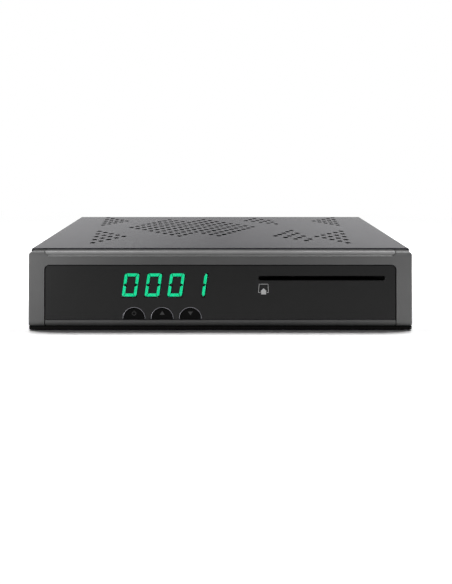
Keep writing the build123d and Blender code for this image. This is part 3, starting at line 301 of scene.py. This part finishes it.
def galvanised_sheet():
    """Hot-dip galvanised steel: grey, with crystal patches a few millimetres wide."""
    material, tree, place = new_material("galvanised_steel")
    patches = {"Vector": place, "Scale": per(4.5), "Randomness": 1}
    crystals = put(tree, "ShaderNodeTexVoronoi", patches).outputs
    haze = noise(tree, place, 14, 4)
    both = {"Factor": 0.35, "A": haze, "B": crystals["Distance"]}
    mixed = put(tree, "ShaderNodeMix", both, data_type="FLOAT").outputs["Result"]
    metal = {
        "Base Color": two_tones(tree, mixed, "#8d9092", "#a9acae"),
        "Metallic": 1.0,
        "Roughness": ranged(tree, crystals["Color"], 0.34, 0.52),
    }
    close(tree, principled(tree, metal))
    return material


def smoked_acrylic():
    """Smoked acrylic with a silk-matt face, printed black behind.

    The print is clear only along the strokes of the digits, which shine through it.
    """
    material, tree, place = new_material("smoked_acrylic")
    low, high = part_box("unlit_segments")
    wide, tall, stroke, pitch = (size * MM for size in (8.4, 13.25, 1.7, 13.1))
    lean, spare, lift = math.tan(math.radians(8)), 0.3 * MM, 0.2 * MM
    # Coordinates of one upright digit: four digits stand on a pitch, and lean to the right
    spot = (low + high) / 2 + Vector((0, 0, lift))
    apart = split(tree, vectors(tree, "SUBTRACT", place, spot))
    shear = maths(tree, "MULTIPLY_ADD", apart["Z"], -lean, apart["X"])
    along = maths(tree, "ABSOLUTE", shear)
    across = maths(tree, "SUBTRACT", maths(tree, "MODULO", along, pitch), pitch / 2)
    digit = put(tree, "ShaderNodeCombineXYZ", {"X": across, "Z": apart["Z"]}).outputs[0]
    # The strokes lie between the outside of a digit and its heart
    reach = Vector((wide / 2 + spare, 1, tall / 2 + spare))
    heart = Vector((wide / 2 - stroke - spare, 1, tall / 2 - stroke - spare))
    outer = inside(tree, digit, -reach, reach, "XZ")
    inner = inside(tree, digit, -heart, heart, "XZ")
    count = maths(tree, "LESS_THAN", along, 2 * pitch)
    patch = maths(tree, "MULTIPLY", maths(tree, "SUBTRACT", outer, inner), count)
    # The last digit only ever shows its right-hand strokes here
    last = maths(tree, "GREATER_THAN", shear, pitch)
    left = maths(tree, "LESS_THAN", across, wide / 2 - stroke - spare)
    kept = maths(tree, "SUBTRACT", 1.0, maths(tree, "MULTIPLY", last, left))
    patch = maths(tree, "MULTIPLY", patch, kept)
    haze = noise(tree, place, 0.5, 2)
    face = {
        "Base Color": two_tones(tree, haze, "#0f0f0f", "#131313"),
        "Roughness": 0.35,
        "Normal": bumped(tree, haze, 0.004, 0.4),
        "Specular IOR Level": 0.22,
    }
    clear = put(tree, "ShaderNodeBsdfTransparent", {"Color": WHITE}).outputs[0]
    layers = {"Fac": ranged(tree, patch, 1.0, 0.5), 1: clear, 2: principled(tree, face)}
    close(tree, put(tree, "ShaderNodeMixShader", layers).outputs["Shader"])
    return material


def lit_diode():
    """A lit segment: diffused green light, slightly uneven."""
    material, tree, place = new_material("lit_green_diffuser")
    light = {
        "Base Color": colour("#0a3a2a"),
        "Roughness": 0.5,
        "Emission Color": two_tones(tree, noise(tree, place, 2.5, 1), "#00dc92", "#12f0aa"),
        "Emission Strength": 3.4,
    }
    close(tree, principled(tree, light))
    material.cycles.emission_sampling = "NONE"
    return material


def solder_mask():
    """Green solder mask over copper tracks, which show as slightly lighter lines."""
    material, tree, place = new_material("green_solder_mask")
    rows = {"Vector": place, "Scale": per(9)}
    rows |= {"Mortar Size": 0.03, "Brick Width": 1.3, "Row Height": 0.2}
    tracks = put(tree, "ShaderNodeTexBrick", rows).outputs["Fac"]
    board = {
        "Base Color": two_tones(tree, tracks, "#0c4326", "#1a6a3c", (0.4, 0.6)),
        "Roughness": 0.38,
        "Normal": bumped(tree, tracks, 0.03, 0.6),
    }
    close(tree, principled(tree, board))
    return material


def flat_cable():
    """White ribbon film over flat wires on a 1 mm pitch, which show as ridges."""
    material, tree, place = new_material("white_ribbon_film")
    waves = {"Vector": place, "Scale": per(1) / 6.2832, "Distortion": 0}
    wires = put(tree, "ShaderNodeTexWave", waves, bands_direction="X").outputs["Fac"]
    film = {
        "Base Color": two_tones(tree, wires, "#c9c9c4", "#dedfda"),
        "Roughness": 0.35,
        "Normal": bumped(tree, wires, 0.08, 0.8),
    }
    close(tree, principled(tree, film))
    return material


finishes = {
    satin_abs: ["fascia_frame"],
    lacquered_abs: ["top_trim_bar"],
    lip_abs: ["lower_lip"],
    smoked_acrylic(): ["front_window"],
    ring_metal: ["button_rings"],
    black_abs: [
        "phono_housing",
        "optical_socket",
        "optical_shutter",
        "power_jack",
        "rocker_housing",
        "power_rocker",
        "cable_headers",
        "scart_socket",
        "scart_core",
    ],
    shade_black_abs: ["fascia_carrier", "display_module", "infrared_receiver", "card_reader"],
    polished_abs: ["power_button", "channel_up_button", "channel_down_button"],
    dark_nylon: ["tact_switches", "power_plunger", "channel_up_plunger", "channel_down_plunger"],
    lit_diode(): ["lit_segments"],
    unlit_film: ["unlit_segments"],
    solder_mask(): ["front_board", "main_board"],
    zinc_plate: ["front_board_screws", "board_screws"],
    black_oxide: ["cover_screws"],
    flat_cable(): ["ribbon_cable"],
    painted_cover(): ["top_cover"],
    galvanised_sheet(): ["base_tray"],
    tin_plate: ["tuner_can"],
    turned_brass: ["board_pillars"],
    foot_rubber: ["rubber_foot_1", "rubber_foot_2", "rubber_foot_3", "rubber_foot_4"],
    contact_gold: ["card_contacts"],
    nickel: [
        "aerial_socket_in",
        "aerial_socket_out",
        "aerial_nuts",
        "phono_shells",
        "hdmi_socket",
        "usb_socket",
        "power_pin",
    ],
    tongue_nylon: ["hdmi_tongue", "usb_tongue"],
    white_collar: ["phono_audio_left"],
    red_collar: ["phono_audio_right"],
    yellow_collar: ["phono_video"],
    orange_collar: ["phono_digital"],
    chip_epoxy: ["processor", "memory_chips", "power_coils"],
    anodised: ["heatsink"],
    capacitor_sleeve: ["capacitors"],
}
for material, names in finishes.items():
    for name in names:
        slots = nodes[name].data.materials
        slots.clear()
        slots.append(material)

# The segments light the eye, and not their neighbours
for way in ("visible_diffuse", "visible_glossy"):
    setattr(nodes["lit_segments"], way, False)

# ---- Turned and rounded parts ---------------------------------------------------------------


def finished(name, mesh, material, body):
    """Turns mesh data into a piece that rides on a body."""
    bmesh.ops.recalc_face_normals(mesh, faces=mesh.faces)
    data = bpy.data.meshes.new(name)
    mesh.to_mesh(data)
    mesh.free()
    data.materials.append(material)
    piece = bpy.data.objects.new(name, data)
    bpy.context.scene.collection.objects.link(piece)
    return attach(piece, body)


def skin(mesh, rows, closed):
    """Faces between rows of corners; closed joins the last row to the first, or caps both ends."""
    verts = [[mesh.verts.new(Vector(corner) * MM) for corner in row] for row in rows]
    nexts = verts[1:] + verts[:1] if closed else verts[1:]
    for one, two in zip(verts, nexts):
        for i in range(len(one)):
            j = (i + 1) % len(one)
            mesh.faces.new((one[i], one[j], two[j], two[i]))
    if not closed:
        mesh.faces.new(verts[0])
        mesh.faces.new(verts[-1][::-1])


def middle(node):
    """The middle of a node across X, in mm."""
    low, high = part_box(node)
    return (low.x + high.x) / 2 / MM


# The rims over the buttons have a rounded front
rim_centre_z, rim_width, rim_steps = 7.0, 0.4, 40
rim_low, rim_high = (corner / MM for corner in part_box("button_rings"))
rim_radius = rim_high.z - rim_centre_z - rim_width / 2
rim_turn = math.pi / 2 + math.asin((rim_centre_z - rim_low.z) / (rim_radius + rim_width / 2))
rim_section = [(rim_width / 2, rim_high.y), (-rim_width / 2, rim_high.y)]
for k in range(9):
    bend = math.pi * k / 8
    out = -rim_width / 2 * math.cos(bend)
    rim_section.append((out, rim_low.y + rim_width / 2 * (1 - math.sin(bend))))
rims = bmesh.new()
for name in ("power_button", "channel_up_button", "channel_down_button"):
    rows = []
    for k in range(rim_steps + 1):
        turn = rim_turn * (2 * k / rim_steps - 1)
        row = []
        for out, y in rim_section:
            r = rim_radius + out
            row.append((middle(name) + r * math.sin(turn), y, rim_centre_z + r * math.cos(turn)))
        rows.append(row)
    skin(rims, rows, closed=False)
rims = finished("button_rims", rims, ring_metal, "case")
for face in rims.data.polygons:
    face.use_smooth = len(face.vertices) == 4
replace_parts(rims, "button_rings")


def turned(mesh, centre, profile, shaped=None, steps=48):
    """A ring about the Y axis through a centre: its profile is a closed loop of (radius, y).

    shaped(angle, radius, y) may move a corner, which makes the flats of a nut.
    """
    rows = []
    for k in range(steps):
        turn = math.tau * k / steps
        row = []
        for r, y in profile:
            if shaped:
                r, y = shaped(turn, r, y)
            row.append((centre[0] + r * math.cos(turn), y, centre[1] + r * math.sin(turn)))
        rows.append(row)
    skin(mesh, rows, closed=True)


# Aerial sockets: a collar, a turned barrel with a rolled mouth, and an insulator set back in it
aerials = []
for node in ("aerial_socket_in", "aerial_socket_out"):
    low, high = (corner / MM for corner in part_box(node))
    aerials.append((middle(node), (low.z + high.z) / 2))
start, end = low.y, high.y
nut_low, nut_high = (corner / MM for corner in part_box("aerial_nuts"))
collar_radius, collar_length, barrel_radius, bore_radius = 5.5, 2, 4.35, 3.35
barrel = [
    (collar_radius, start),
    (collar_radius, start + collar_length),
    (barrel_radius, start + collar_length),
    (barrel_radius, end - 0.5),
    (4.1, end - 0.1),
    (3.85, end),
    (3.5, end - 0.1),
    (bore_radius, end - 0.4),
    (bore_radius, start),
]
insulator = [(0.6, start), (3.3, start), (3.3, end - 0.9), (0.6, end - 0.9)]
flat, nut_bore, corner_fall = 5.5, 4.4, 0.58
nut = [
    (nut_bore, nut_low.y),
    (flat, nut_low.y),
    (flat, nut_high.y - 0.1),
    (5.3, nut_high.y),
    (nut_bore, nut_high.y),
]


def hexagon(angle, r, y):
    """Carries a corner of the nut's profile out to its flats, with 30 degree chamfers in front."""
    if r < flat:
        return r, y
    reach = flat / math.cos((angle + math.pi / 6) % (math.pi / 3) - math.pi / 6)
    return (reach, y - (reach - flat) * corner_fall if y > nut_low.y else y)


barrels, insulators, nuts = bmesh.new(), bmesh.new(), bmesh.new()
for place in aerials:
    turned(barrels, place, barrel)
    turned(insulators, place, insulator, steps=24)
    turned(nuts, place, nut, hexagon)
barrels = finished("aerial_barrels", barrels, nickel, "case")
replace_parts(barrels, "aerial_socket_in", "aerial_socket_out")
finished("aerial_insulators", insulators, white_insulator, "case")
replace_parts(finished("aerial_hexagon_nuts", nuts, nickel, "case"), "aerial_nuts")

# ---- Repeated parts, made by Geometry Nodes -------------------------------------------------


def new_tree(name, sockets):
    """A Geometry Nodes tree with Geometry in and out, and its named inputs."""
    tree = bpy.data.node_groups.new(name, "GeometryNodeTree")
    tree.interface.new_socket("Geometry", in_out="OUTPUT", socket_type="NodeSocketGeometry")
    for label, kind in {"Geometry": "Geometry", **sockets, "Material": "Material"}.items():
        tree.interface.new_socket(label, in_out="INPUT", socket_type=f"NodeSocket{kind}")
    return tree, put(tree, "NodeGroupInput").outputs


def copied(tree, fields, shape):
    """Ends a tree: a shape on every point, turned by the points' own angles, made one mesh."""
    turn = put(tree, "GeometryNodeInputNamedAttribute", {"Name": "turn"}, data_type="FLOAT_VECTOR")
    angle = put(tree, "FunctionNodeEulerToRotation", {0: turn.outputs["Attribute"]}).outputs[0]
    inputs = {"Points": fields["Geometry"], "Instance": shape, "Rotation": angle}
    copies = put(tree, "GeometryNodeInstanceOnPoints", inputs).outputs[0]
    solid = put(tree, "GeometryNodeRealizeInstances", {0: copies}).outputs[0]
    clad = {"Geometry": solid, "Material": fields["Material"]}
    put(tree, "NodeGroupOutput", {0: put(tree, "GeometryNodeSetMaterial", clad).outputs[0]})


def plain(piece):
    """Gives an object the mesh that its modifiers make, and removes them."""
    view = bpy.context.evaluated_depsgraph_get()
    piece.data = bpy.data.meshes.new_from_object(piece.evaluated_get(view), depsgraph=view)
    piece.modifiers.clear()


def grown(name, tree, body, points, values, turns=None):
    """Runs a tree on points, in mm, and keeps the result as one plain mesh on a body."""
    data = bpy.data.meshes.new(name)
    data.from_pydata([Vector(point) * MM for point in points], [], [])
    angles = data.attributes.new("turn", "FLOAT_VECTOR", "POINT").data
    for item, turn in zip(angles, turns or [(0, 0, 0)] * len(points)):
        item.vector = turn
    piece = bpy.data.objects.new(name, data)
    bpy.context.scene.collection.objects.link(piece)
    change = piece.modifiers.new("copies", "NODES")
    change.node_group = tree
    for item in tree.interface.items_tree:
        if item.in_out == "INPUT" and item.name in values:
            change[item.identifier] = values[item.name]
    plain(piece)
    piece.data.materials.clear()
    piece.data.materials.append(values["Material"])
    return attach(piece, body)


def template(mesh):
    """An object that holds a shape to be copied."""
    data = bpy.data.meshes.new("template")
    bmesh.ops.recalc_face_normals(mesh, faces=mesh.faces)
    mesh.to_mesh(data)
    mesh.free()
    shape = bpy.data.objects.new("template", data)
    bpy.context.scene.collection.objects.link(shape)
    return shape


copy_tree, fields = new_tree("copies_on_points", {"Template": "Object"})
shape = put(copy_tree, "GeometryNodeObjectInfo", {"Object": fields["Template"]})
copied(copy_tree, fields, shape.outputs["Geometry"])

# A thread is a ridge with four edges along a spiral, laid from Z to Y
thread_sockets = {"Radius": "Float", "Depth": "Float", "Pitch": "Float", "Turns": "Float"}
thread_tree, fields = new_tree("thread_on_points", thread_sockets)
spiral = {
    "Resolution": 32,
    "Rotations": fields["Turns"],
    "Start Radius": fields["Radius"],
    "End Radius": fields["Radius"],
    "Height": maths(thread_tree, "MULTIPLY", fields["Pitch"], fields["Turns"]),
}
spiral = put(thread_tree, "GeometryNodeCurveSpiral", spiral).outputs[0]
ridge = {"Resolution": 4, "Radius": fields["Depth"]}
ridge = put(thread_tree, "GeometryNodeCurvePrimitiveCircle", ridge).outputs[0]
coil = {"Curve": spiral, "Profile Curve": ridge, "Fill Caps": True}
coil = put(thread_tree, "GeometryNodeCurveToMesh", coil).outputs[0]
laid = {"Geometry": coil, "Rotation": (-math.pi / 2, 0, 0)}
copied(thread_tree, fields, put(thread_tree, "GeometryNodeTransform", laid).outputs[0])

# The aerial thread: 32 turns to the inch, between the nut and the mouth
thread = {"Radius": 4.3 * MM, "Depth": 0.36 * MM, "Pitch": 0.794 * MM, "Turns": 8.5}
starts = [(x, nut_high.y + 0.5, z) for x, z in aerials]
grown("aerial_threads", thread_tree, "case", starts, {**thread, "Material": nickel})

# Pan-head screws with a cross recess hold the cover's sides
head_radius, head_height, screw_z = 2.9, 1.1, 9
dome = [(head_radius, 0), (head_radius, 0.45), (2.6, 0.85), (2.0, 1.05), (1.2, head_height)]
head = bmesh.new()
rows = []
for r, z in dome:
    turns = [math.tau * k / 24 for k in range(24)]
    rows.append([(r * math.cos(turn), r * math.sin(turn), z) for turn in turns])
skin(head, rows, closed=False)
head = template(head)
cross = bmesh.new()
for wide, tall in ((3.2, 0.7), (0.7, 3.2)):
    ends = []
    for z, share in ((0.3, 0.55), (1.5, 1.15)):
        x = wide / 2 * (share if wide > tall else 1)
        y = tall / 2 * (share if tall > wide else 1)
        ends.append([(-x, -y, z), (x, -y, z), (x, y, z), (-x, y, z)])
    skin(cross, ends, closed=False)
cross = template(cross)
cut = head.modifiers.new("recess", "BOOLEAN")
cut.operation, cut.solver, cut.use_self, cut.object = "DIFFERENCE", "EXACT", True, cross
plain(head)
low, high = (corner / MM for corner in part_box("cover_screws"))
seats, turns = [], []
for side in (-1, 1):
    for y, twist in ((low.y + head_radius, 0.5), (high.y - head_radius, 1.2)):
        seats.append((side * (high.x - head_height), y, screw_z))
        # The head's axis is laid along X, and the head is twisted about it
        turns.append((math.pi / 2, side * (math.pi / 2 - twist), side * math.pi / 2))
values = {"Template": head, "Material": black_oxide}
heads = grown("cover_screw_heads", copy_tree, "case", seats, values, turns)
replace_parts(heads, "cover_screws")

# Contacts in the scart, data and video sockets: the size of one in mm, the count, pitch and depth
# of a row, and how far each row stands aside and above the middle of its carrier
blade = bmesh.new()
bmesh.ops.create_cube(blade, size=1)
bmesh.ops.bevel(blade, geom=blade.edges[:], offset=0.12, segments=1, affect="EDGES")
blade = template(blade)
for name, node, size, count, pitch, depth, rows in (
    ("scart_blades", "scart_core", (1.3, 4.0, 0.3), 10, 3.6, -2.8, ((0.9, 1.5), (-0.9, -1.5))),
    ("hdmi_pads", "hdmi_tongue", (0.5, 8.0, 0.12), 10, 1.0, -4.3, ((0, 0.5), (0.5, -0.5))),
    ("usb_pads", "usb_tongue", (1.1, 8.0, 0.16), 4, 2.4, -4.3, ((0, -0.92),)),
):
    low, high = (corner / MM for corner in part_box(node))
    spots = []
    for aside, up in rows:
        # The lower row of the video socket has one contact fewer
        for k in range(count - (name == "hdmi_pads" and up < 0)):
            x = middle(node) + aside + (k - (count - 1) / 2) * pitch
            spots.append((x, high.y + depth, (low.z + high.z) / 2 + up))
    sized = template(bmesh.new())
    sized.data = blade.data.copy()
    for corner in sized.data.vertices:
        corner.co = Vector([c * length * MM for c, length in zip(corner.co, size)])
    grown(name, copy_tree, "case", spots, {"Template": sized, "Material": contact_gold})
    bpy.data.objects.remove(sized)
for used in (head, cross, blade):
    bpy.data.objects.remove(used)

# ---- Printed marks -------------------------------------------------------------------------


def surface(node):
    """A search tree of a CAD node's faces."""
    mesh = nodes[node].data
    corners = [v.co.copy() for v in mesh.vertices]
    return BVHTree.FromPolygons(corners, [list(p.vertices) for p in mesh.polygons])


def printed(name, outlines, node, body, material, film=0.06, way=1):
    """Ink on a node: flat outlines in X and Z, in mm, laid on the face they meet.

    way is 1 on the front and -1 on the back.
    """
    faces = surface(node)
    mesh = bmesh.new()
    for outline in outlines:
        rims = []
        for lift in (film * way, -film * way):
            rim = []
            for x, z in outline:
                hit = faces.ray_cast(Vector((x * MM, -0.2 * way, z * MM)), Vector((0, way, 0)))[0]
                rim.append(mesh.verts.new((x * MM, hit.y - lift * MM, z * MM)))
            rims.append(rim)
        front, back = rims
        mesh.faces.new(front)
        mesh.faces.new(back[::-1])
        for i in range(len(front)):
            j = (i + 1) % len(front)
            mesh.faces.new((front[j], front[i], back[i], back[j]))
    return finished(name, mesh, material, body)


def arc(centre, radius, width, start, end, steps=14):
    """Quads along an arc of a line, in degrees from straight up."""
    quads = []
    for k in range(steps):
        corners = []
        for share, out in ((0, 0), (1, 0), (1, width), (0, width)):
            r = radius + out
            turn = math.radians(start + (end - start) * (k + share) / steps)
            corners.append((centre[0] + r * math.sin(turn), centre[1] + r * math.cos(turn)))
        quads.append(corners)
    return quads


def bar(x0, z0, x1, z1, width):
    """A straight line between two points, as one quad."""
    along = Vector((x1 - x0, z1 - z0)).normalized() * width / 2
    side = Vector((-along.y, along.x))
    return [
        (x0 - side.x, z0 - side.y),
        (x1 - side.x, z1 - side.y),
        (x1 + side.x, z1 + side.y),
        (x0 + side.x, z0 + side.y),
    ]


# A power sign and two triangles on the buttons
mark_z, mark_line, mark_half = 9.9, 0.3, 1.4
power_x = middle("power_button")
up_x = middle("channel_up_button")
down_x = middle("channel_down_button")
power_mark = arc((power_x, mark_z), 0.95, mark_line, 35, 325)
power_mark.append(bar(power_x, mark_z + 0.2, power_x, mark_z + 1.5, mark_line))
printed("power_mark", power_mark, "power_button", "power_button", grey_ink)
up_mark = [(up_x - mark_half, mark_z - 0.8), (up_x + mark_half, mark_z - 0.8), (up_x, mark_z + 1.3)]
printed("channel_up_mark", [up_mark], "channel_up_button", "channel_up_button", grey_ink)
down_mark = [
    (down_x - mark_half, mark_z + 1.0),
    (down_x, mark_z - 1.1),
    (down_x + mark_half, mark_z + 1.0),
]
printed("channel_down_mark", [down_mark], "channel_down_button", "channel_down_button", grey_ink)

# The card sign under the slot: a card's outline and an arrow for the way in
sign_x, sign_z, sign_line = 24.8, 24.15, 0.22
card = [(-1.7, -2.3), (-2.9, -2.3), (-2.5, 2.5), (2.5, 2.5), (2.9, -2.3), (1.7, -2.3)]
arrow = [(-1.4, -3.4), (1.4, -3.4), (1.4, -1.6), (1.8, -1.6), (0, 0.1), (-1.8, -1.6), (-1.4, -1.6)]
sign = []
for (a, b), (c, d) in zip(card, card[1:]):
    sign.append(bar(sign_x + a, sign_z + b, sign_x + c, sign_z + d, sign_line))
sign.append([(sign_x + x, sign_z + z) for x, z in arrow])
printed("card_sign", sign, "front_window", "case", white_ink)

# A line and a ring on the rocker, for on and off
rocker_x, (rocker_low, rocker_high) = middle("power_rocker"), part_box("power_rocker")
rocker_z = (rocker_low.z + rocker_high.z) / 2 / MM
on_off = arc((rocker_x, rocker_z - 3), 0.8, 0.35, 0, 360, 20)
on_off.append(bar(rocker_x, rocker_z + 2.2, rocker_x, rocker_z + 4.2, 0.4))
printed("rocker_marks", on_off, "power_rocker", "power_rocker", white_ink, way=-1)

# ---- Floor and light -----------------------------------------------------------------------


def white_floor():
    """Plain white paper. It keeps the object's shadow, and far from the object it is full white."""
    material, tree, place = new_material("white_paper")
    rays = put(tree, "ShaderNodeLightPath").outputs
    seen = maths(tree, "MAXIMUM", rays["Is Camera Ray"], rays["Is Glossy Ray"])
    # The paper gives the light back as grey card would, so little of it reaches the object
    card = two_tones(tree, noise(tree, place, 3, 3), "#7c7c7c", "#828282")
    tint = blended(tree, seen, card, (1.4, 1.4, 1.4, 1))
    paper = put(tree, "ShaderNodeBsdfDiffuse", {"Color": tint}).outputs[0]
    distance = put(tree, "ShaderNodeVectorMath", {0: place}, operation="LENGTH").outputs["Value"]
    fade = ranged(tree, distance, 0.0, 1.0, 0.16, 0.6, interpolation_type="SMOOTHSTEP")
    white = put(tree, "ShaderNodeEmission", {"Color": WHITE, "Strength": 1.0}).outputs[0]
    layers = {"Fac": maths(tree, "MULTIPLY", fade, seen), 1: paper, 2: white}
    close(tree, put(tree, "ShaderNodeMixShader", layers).outputs["Shader"])
    return material


bpy.ops.mesh.primitive_plane_add(size=12)
floor = bpy.context.object
floor.name = "floor"
floor.data.materials.append(white_floor())

world = bpy.data.worlds.new("studio")
bpy.context.scene.world = world
world.use_nodes = True
sky = world.node_tree
sky.nodes.clear()
rays = put(sky, "ShaderNodeLightPath").outputs
seen = maths(sky, "ADD", rays["Is Camera Ray"], rays["Is Glossy Ray"])
seen = maths(sky, "ADD", seen, rays["Is Transmission Ray"], use_clamp=True)
direction = split(sky, put(sky, "ShaderNodeTexCoord").outputs["Generated"])
# What the gloss sees: a white cove behind the object that turns grey towards the ceiling, later
# at the sides than in the middle, and a dimmer room in front
aside = maths(sky, "ABSOLUTE", direction["X"])
height = maths(sky, "MULTIPLY_ADD", aside, -0.27, direction["Z"])
cove = ranged(sky, height, 1.0, 0.1, 0.1, 0.16, interpolation_type="SMOOTHSTEP")
room = ranged(sky, direction["Y"], 0.3, 1.0, -0.5, 0.2)
# A large bright screen stands high in front, brighter at its sides, and shows along the noses
raised = ranged(sky, direction["Z"], 0, 1.6, 0.15, 0.4)
ahead = ranged(sky, direction["Y"], 1, 0, -0.25, 0)
sides = ranged(sky, aside, 0.72, 1.15, 0, 0.25)
screen = maths(sky, "MULTIPLY", maths(sky, "MULTIPLY", raised, ahead), sides)
white = maths(sky, "MAXIMUM", maths(sky, "MULTIPLY", cove, room), screen)
white = maths(sky, "MAXIMUM", white, rays["Is Camera Ray"])
level = {"Factor": seen, "A": 0.05, "B": white}
level = put(sky, "ShaderNodeMix", level, data_type="FLOAT").outputs["Result"]
air = put(sky, "ShaderNodeBackground", {"Color": WHITE, "Strength": level}).outputs["Background"]
put(sky, "ShaderNodeOutputWorld", {"Surface": air})


def softbox(name, place, target, size, watts):
    """A rectangular lamp at a place, turned to a target, in metres."""
    data = bpy.data.lights.new(name, "AREA")
    data.shape = "RECTANGLE"
    data.size, data.size_y = size
    data.energy = watts
    lamp = bpy.data.objects.new(name, data)
    bpy.context.scene.collection.objects.link(lamp)
    lamp.location = place
    lamp.rotation_euler = (Vector(target) - Vector(place)).to_track_quat("-Z", "Y").to_euler()
    return lamp


# Two long lamps overhead, two small ones low in front, and two behind
lamps = {}
for name, side, place, target, size, watts in (
    ("top_left_softbox", -1, (0.34, 0.05, 0.8), (0.34, 0.05, 0), (0.5, 0.16), 4.3),
    ("top_right_softbox", 1, (0.34, 0.05, 0.8), (0.34, 0.05, 0), (0.5, 0.16), 4.3),
    ("left_softbox", -1, (0.2, -0.2, 0.03), (0.06, -0.088, 0.03), (0.1, 0.03), 0.16),
    ("right_softbox", 1, (0.2, -0.2, 0.03), (0.06, -0.088, 0.03), (0.1, 0.03), 0.18),
    ("rear_left_softbox", -1, (0.25, 0.24, 0.16), (0.05, 0.04, 0.046), (0.2, 0.1), 0.44),
    ("rear_right_softbox", 1, (0.25, 0.24, 0.16), (0.05, 0.04, 0.046), (0.2, 0.1), 0.44),
):
    (x, *yz), (aim, *to) = place, target
    lamps[name] = softbox(name, (side * x, *yz), (side * aim, *to), size, watts)
# Only the lamps above and to the left show in the gloss
for name in ("right_softbox", "rear_left_softbox", "rear_right_softbox"):
    lamps[name].visible_glossy = False
# The low lamps in front are flagged off the paper, which keeps the shadow at the foot dark
all_but_paper = bpy.data.collections.new("all_but_paper")
all_but_paper.objects.link(floor)
all_but_paper.collection_objects[0].light_linking.link_state = "EXCLUDE"
for name in ("left_softbox", "right_softbox"):
    lamps[name].light_linking.receiver_collection = all_but_paper
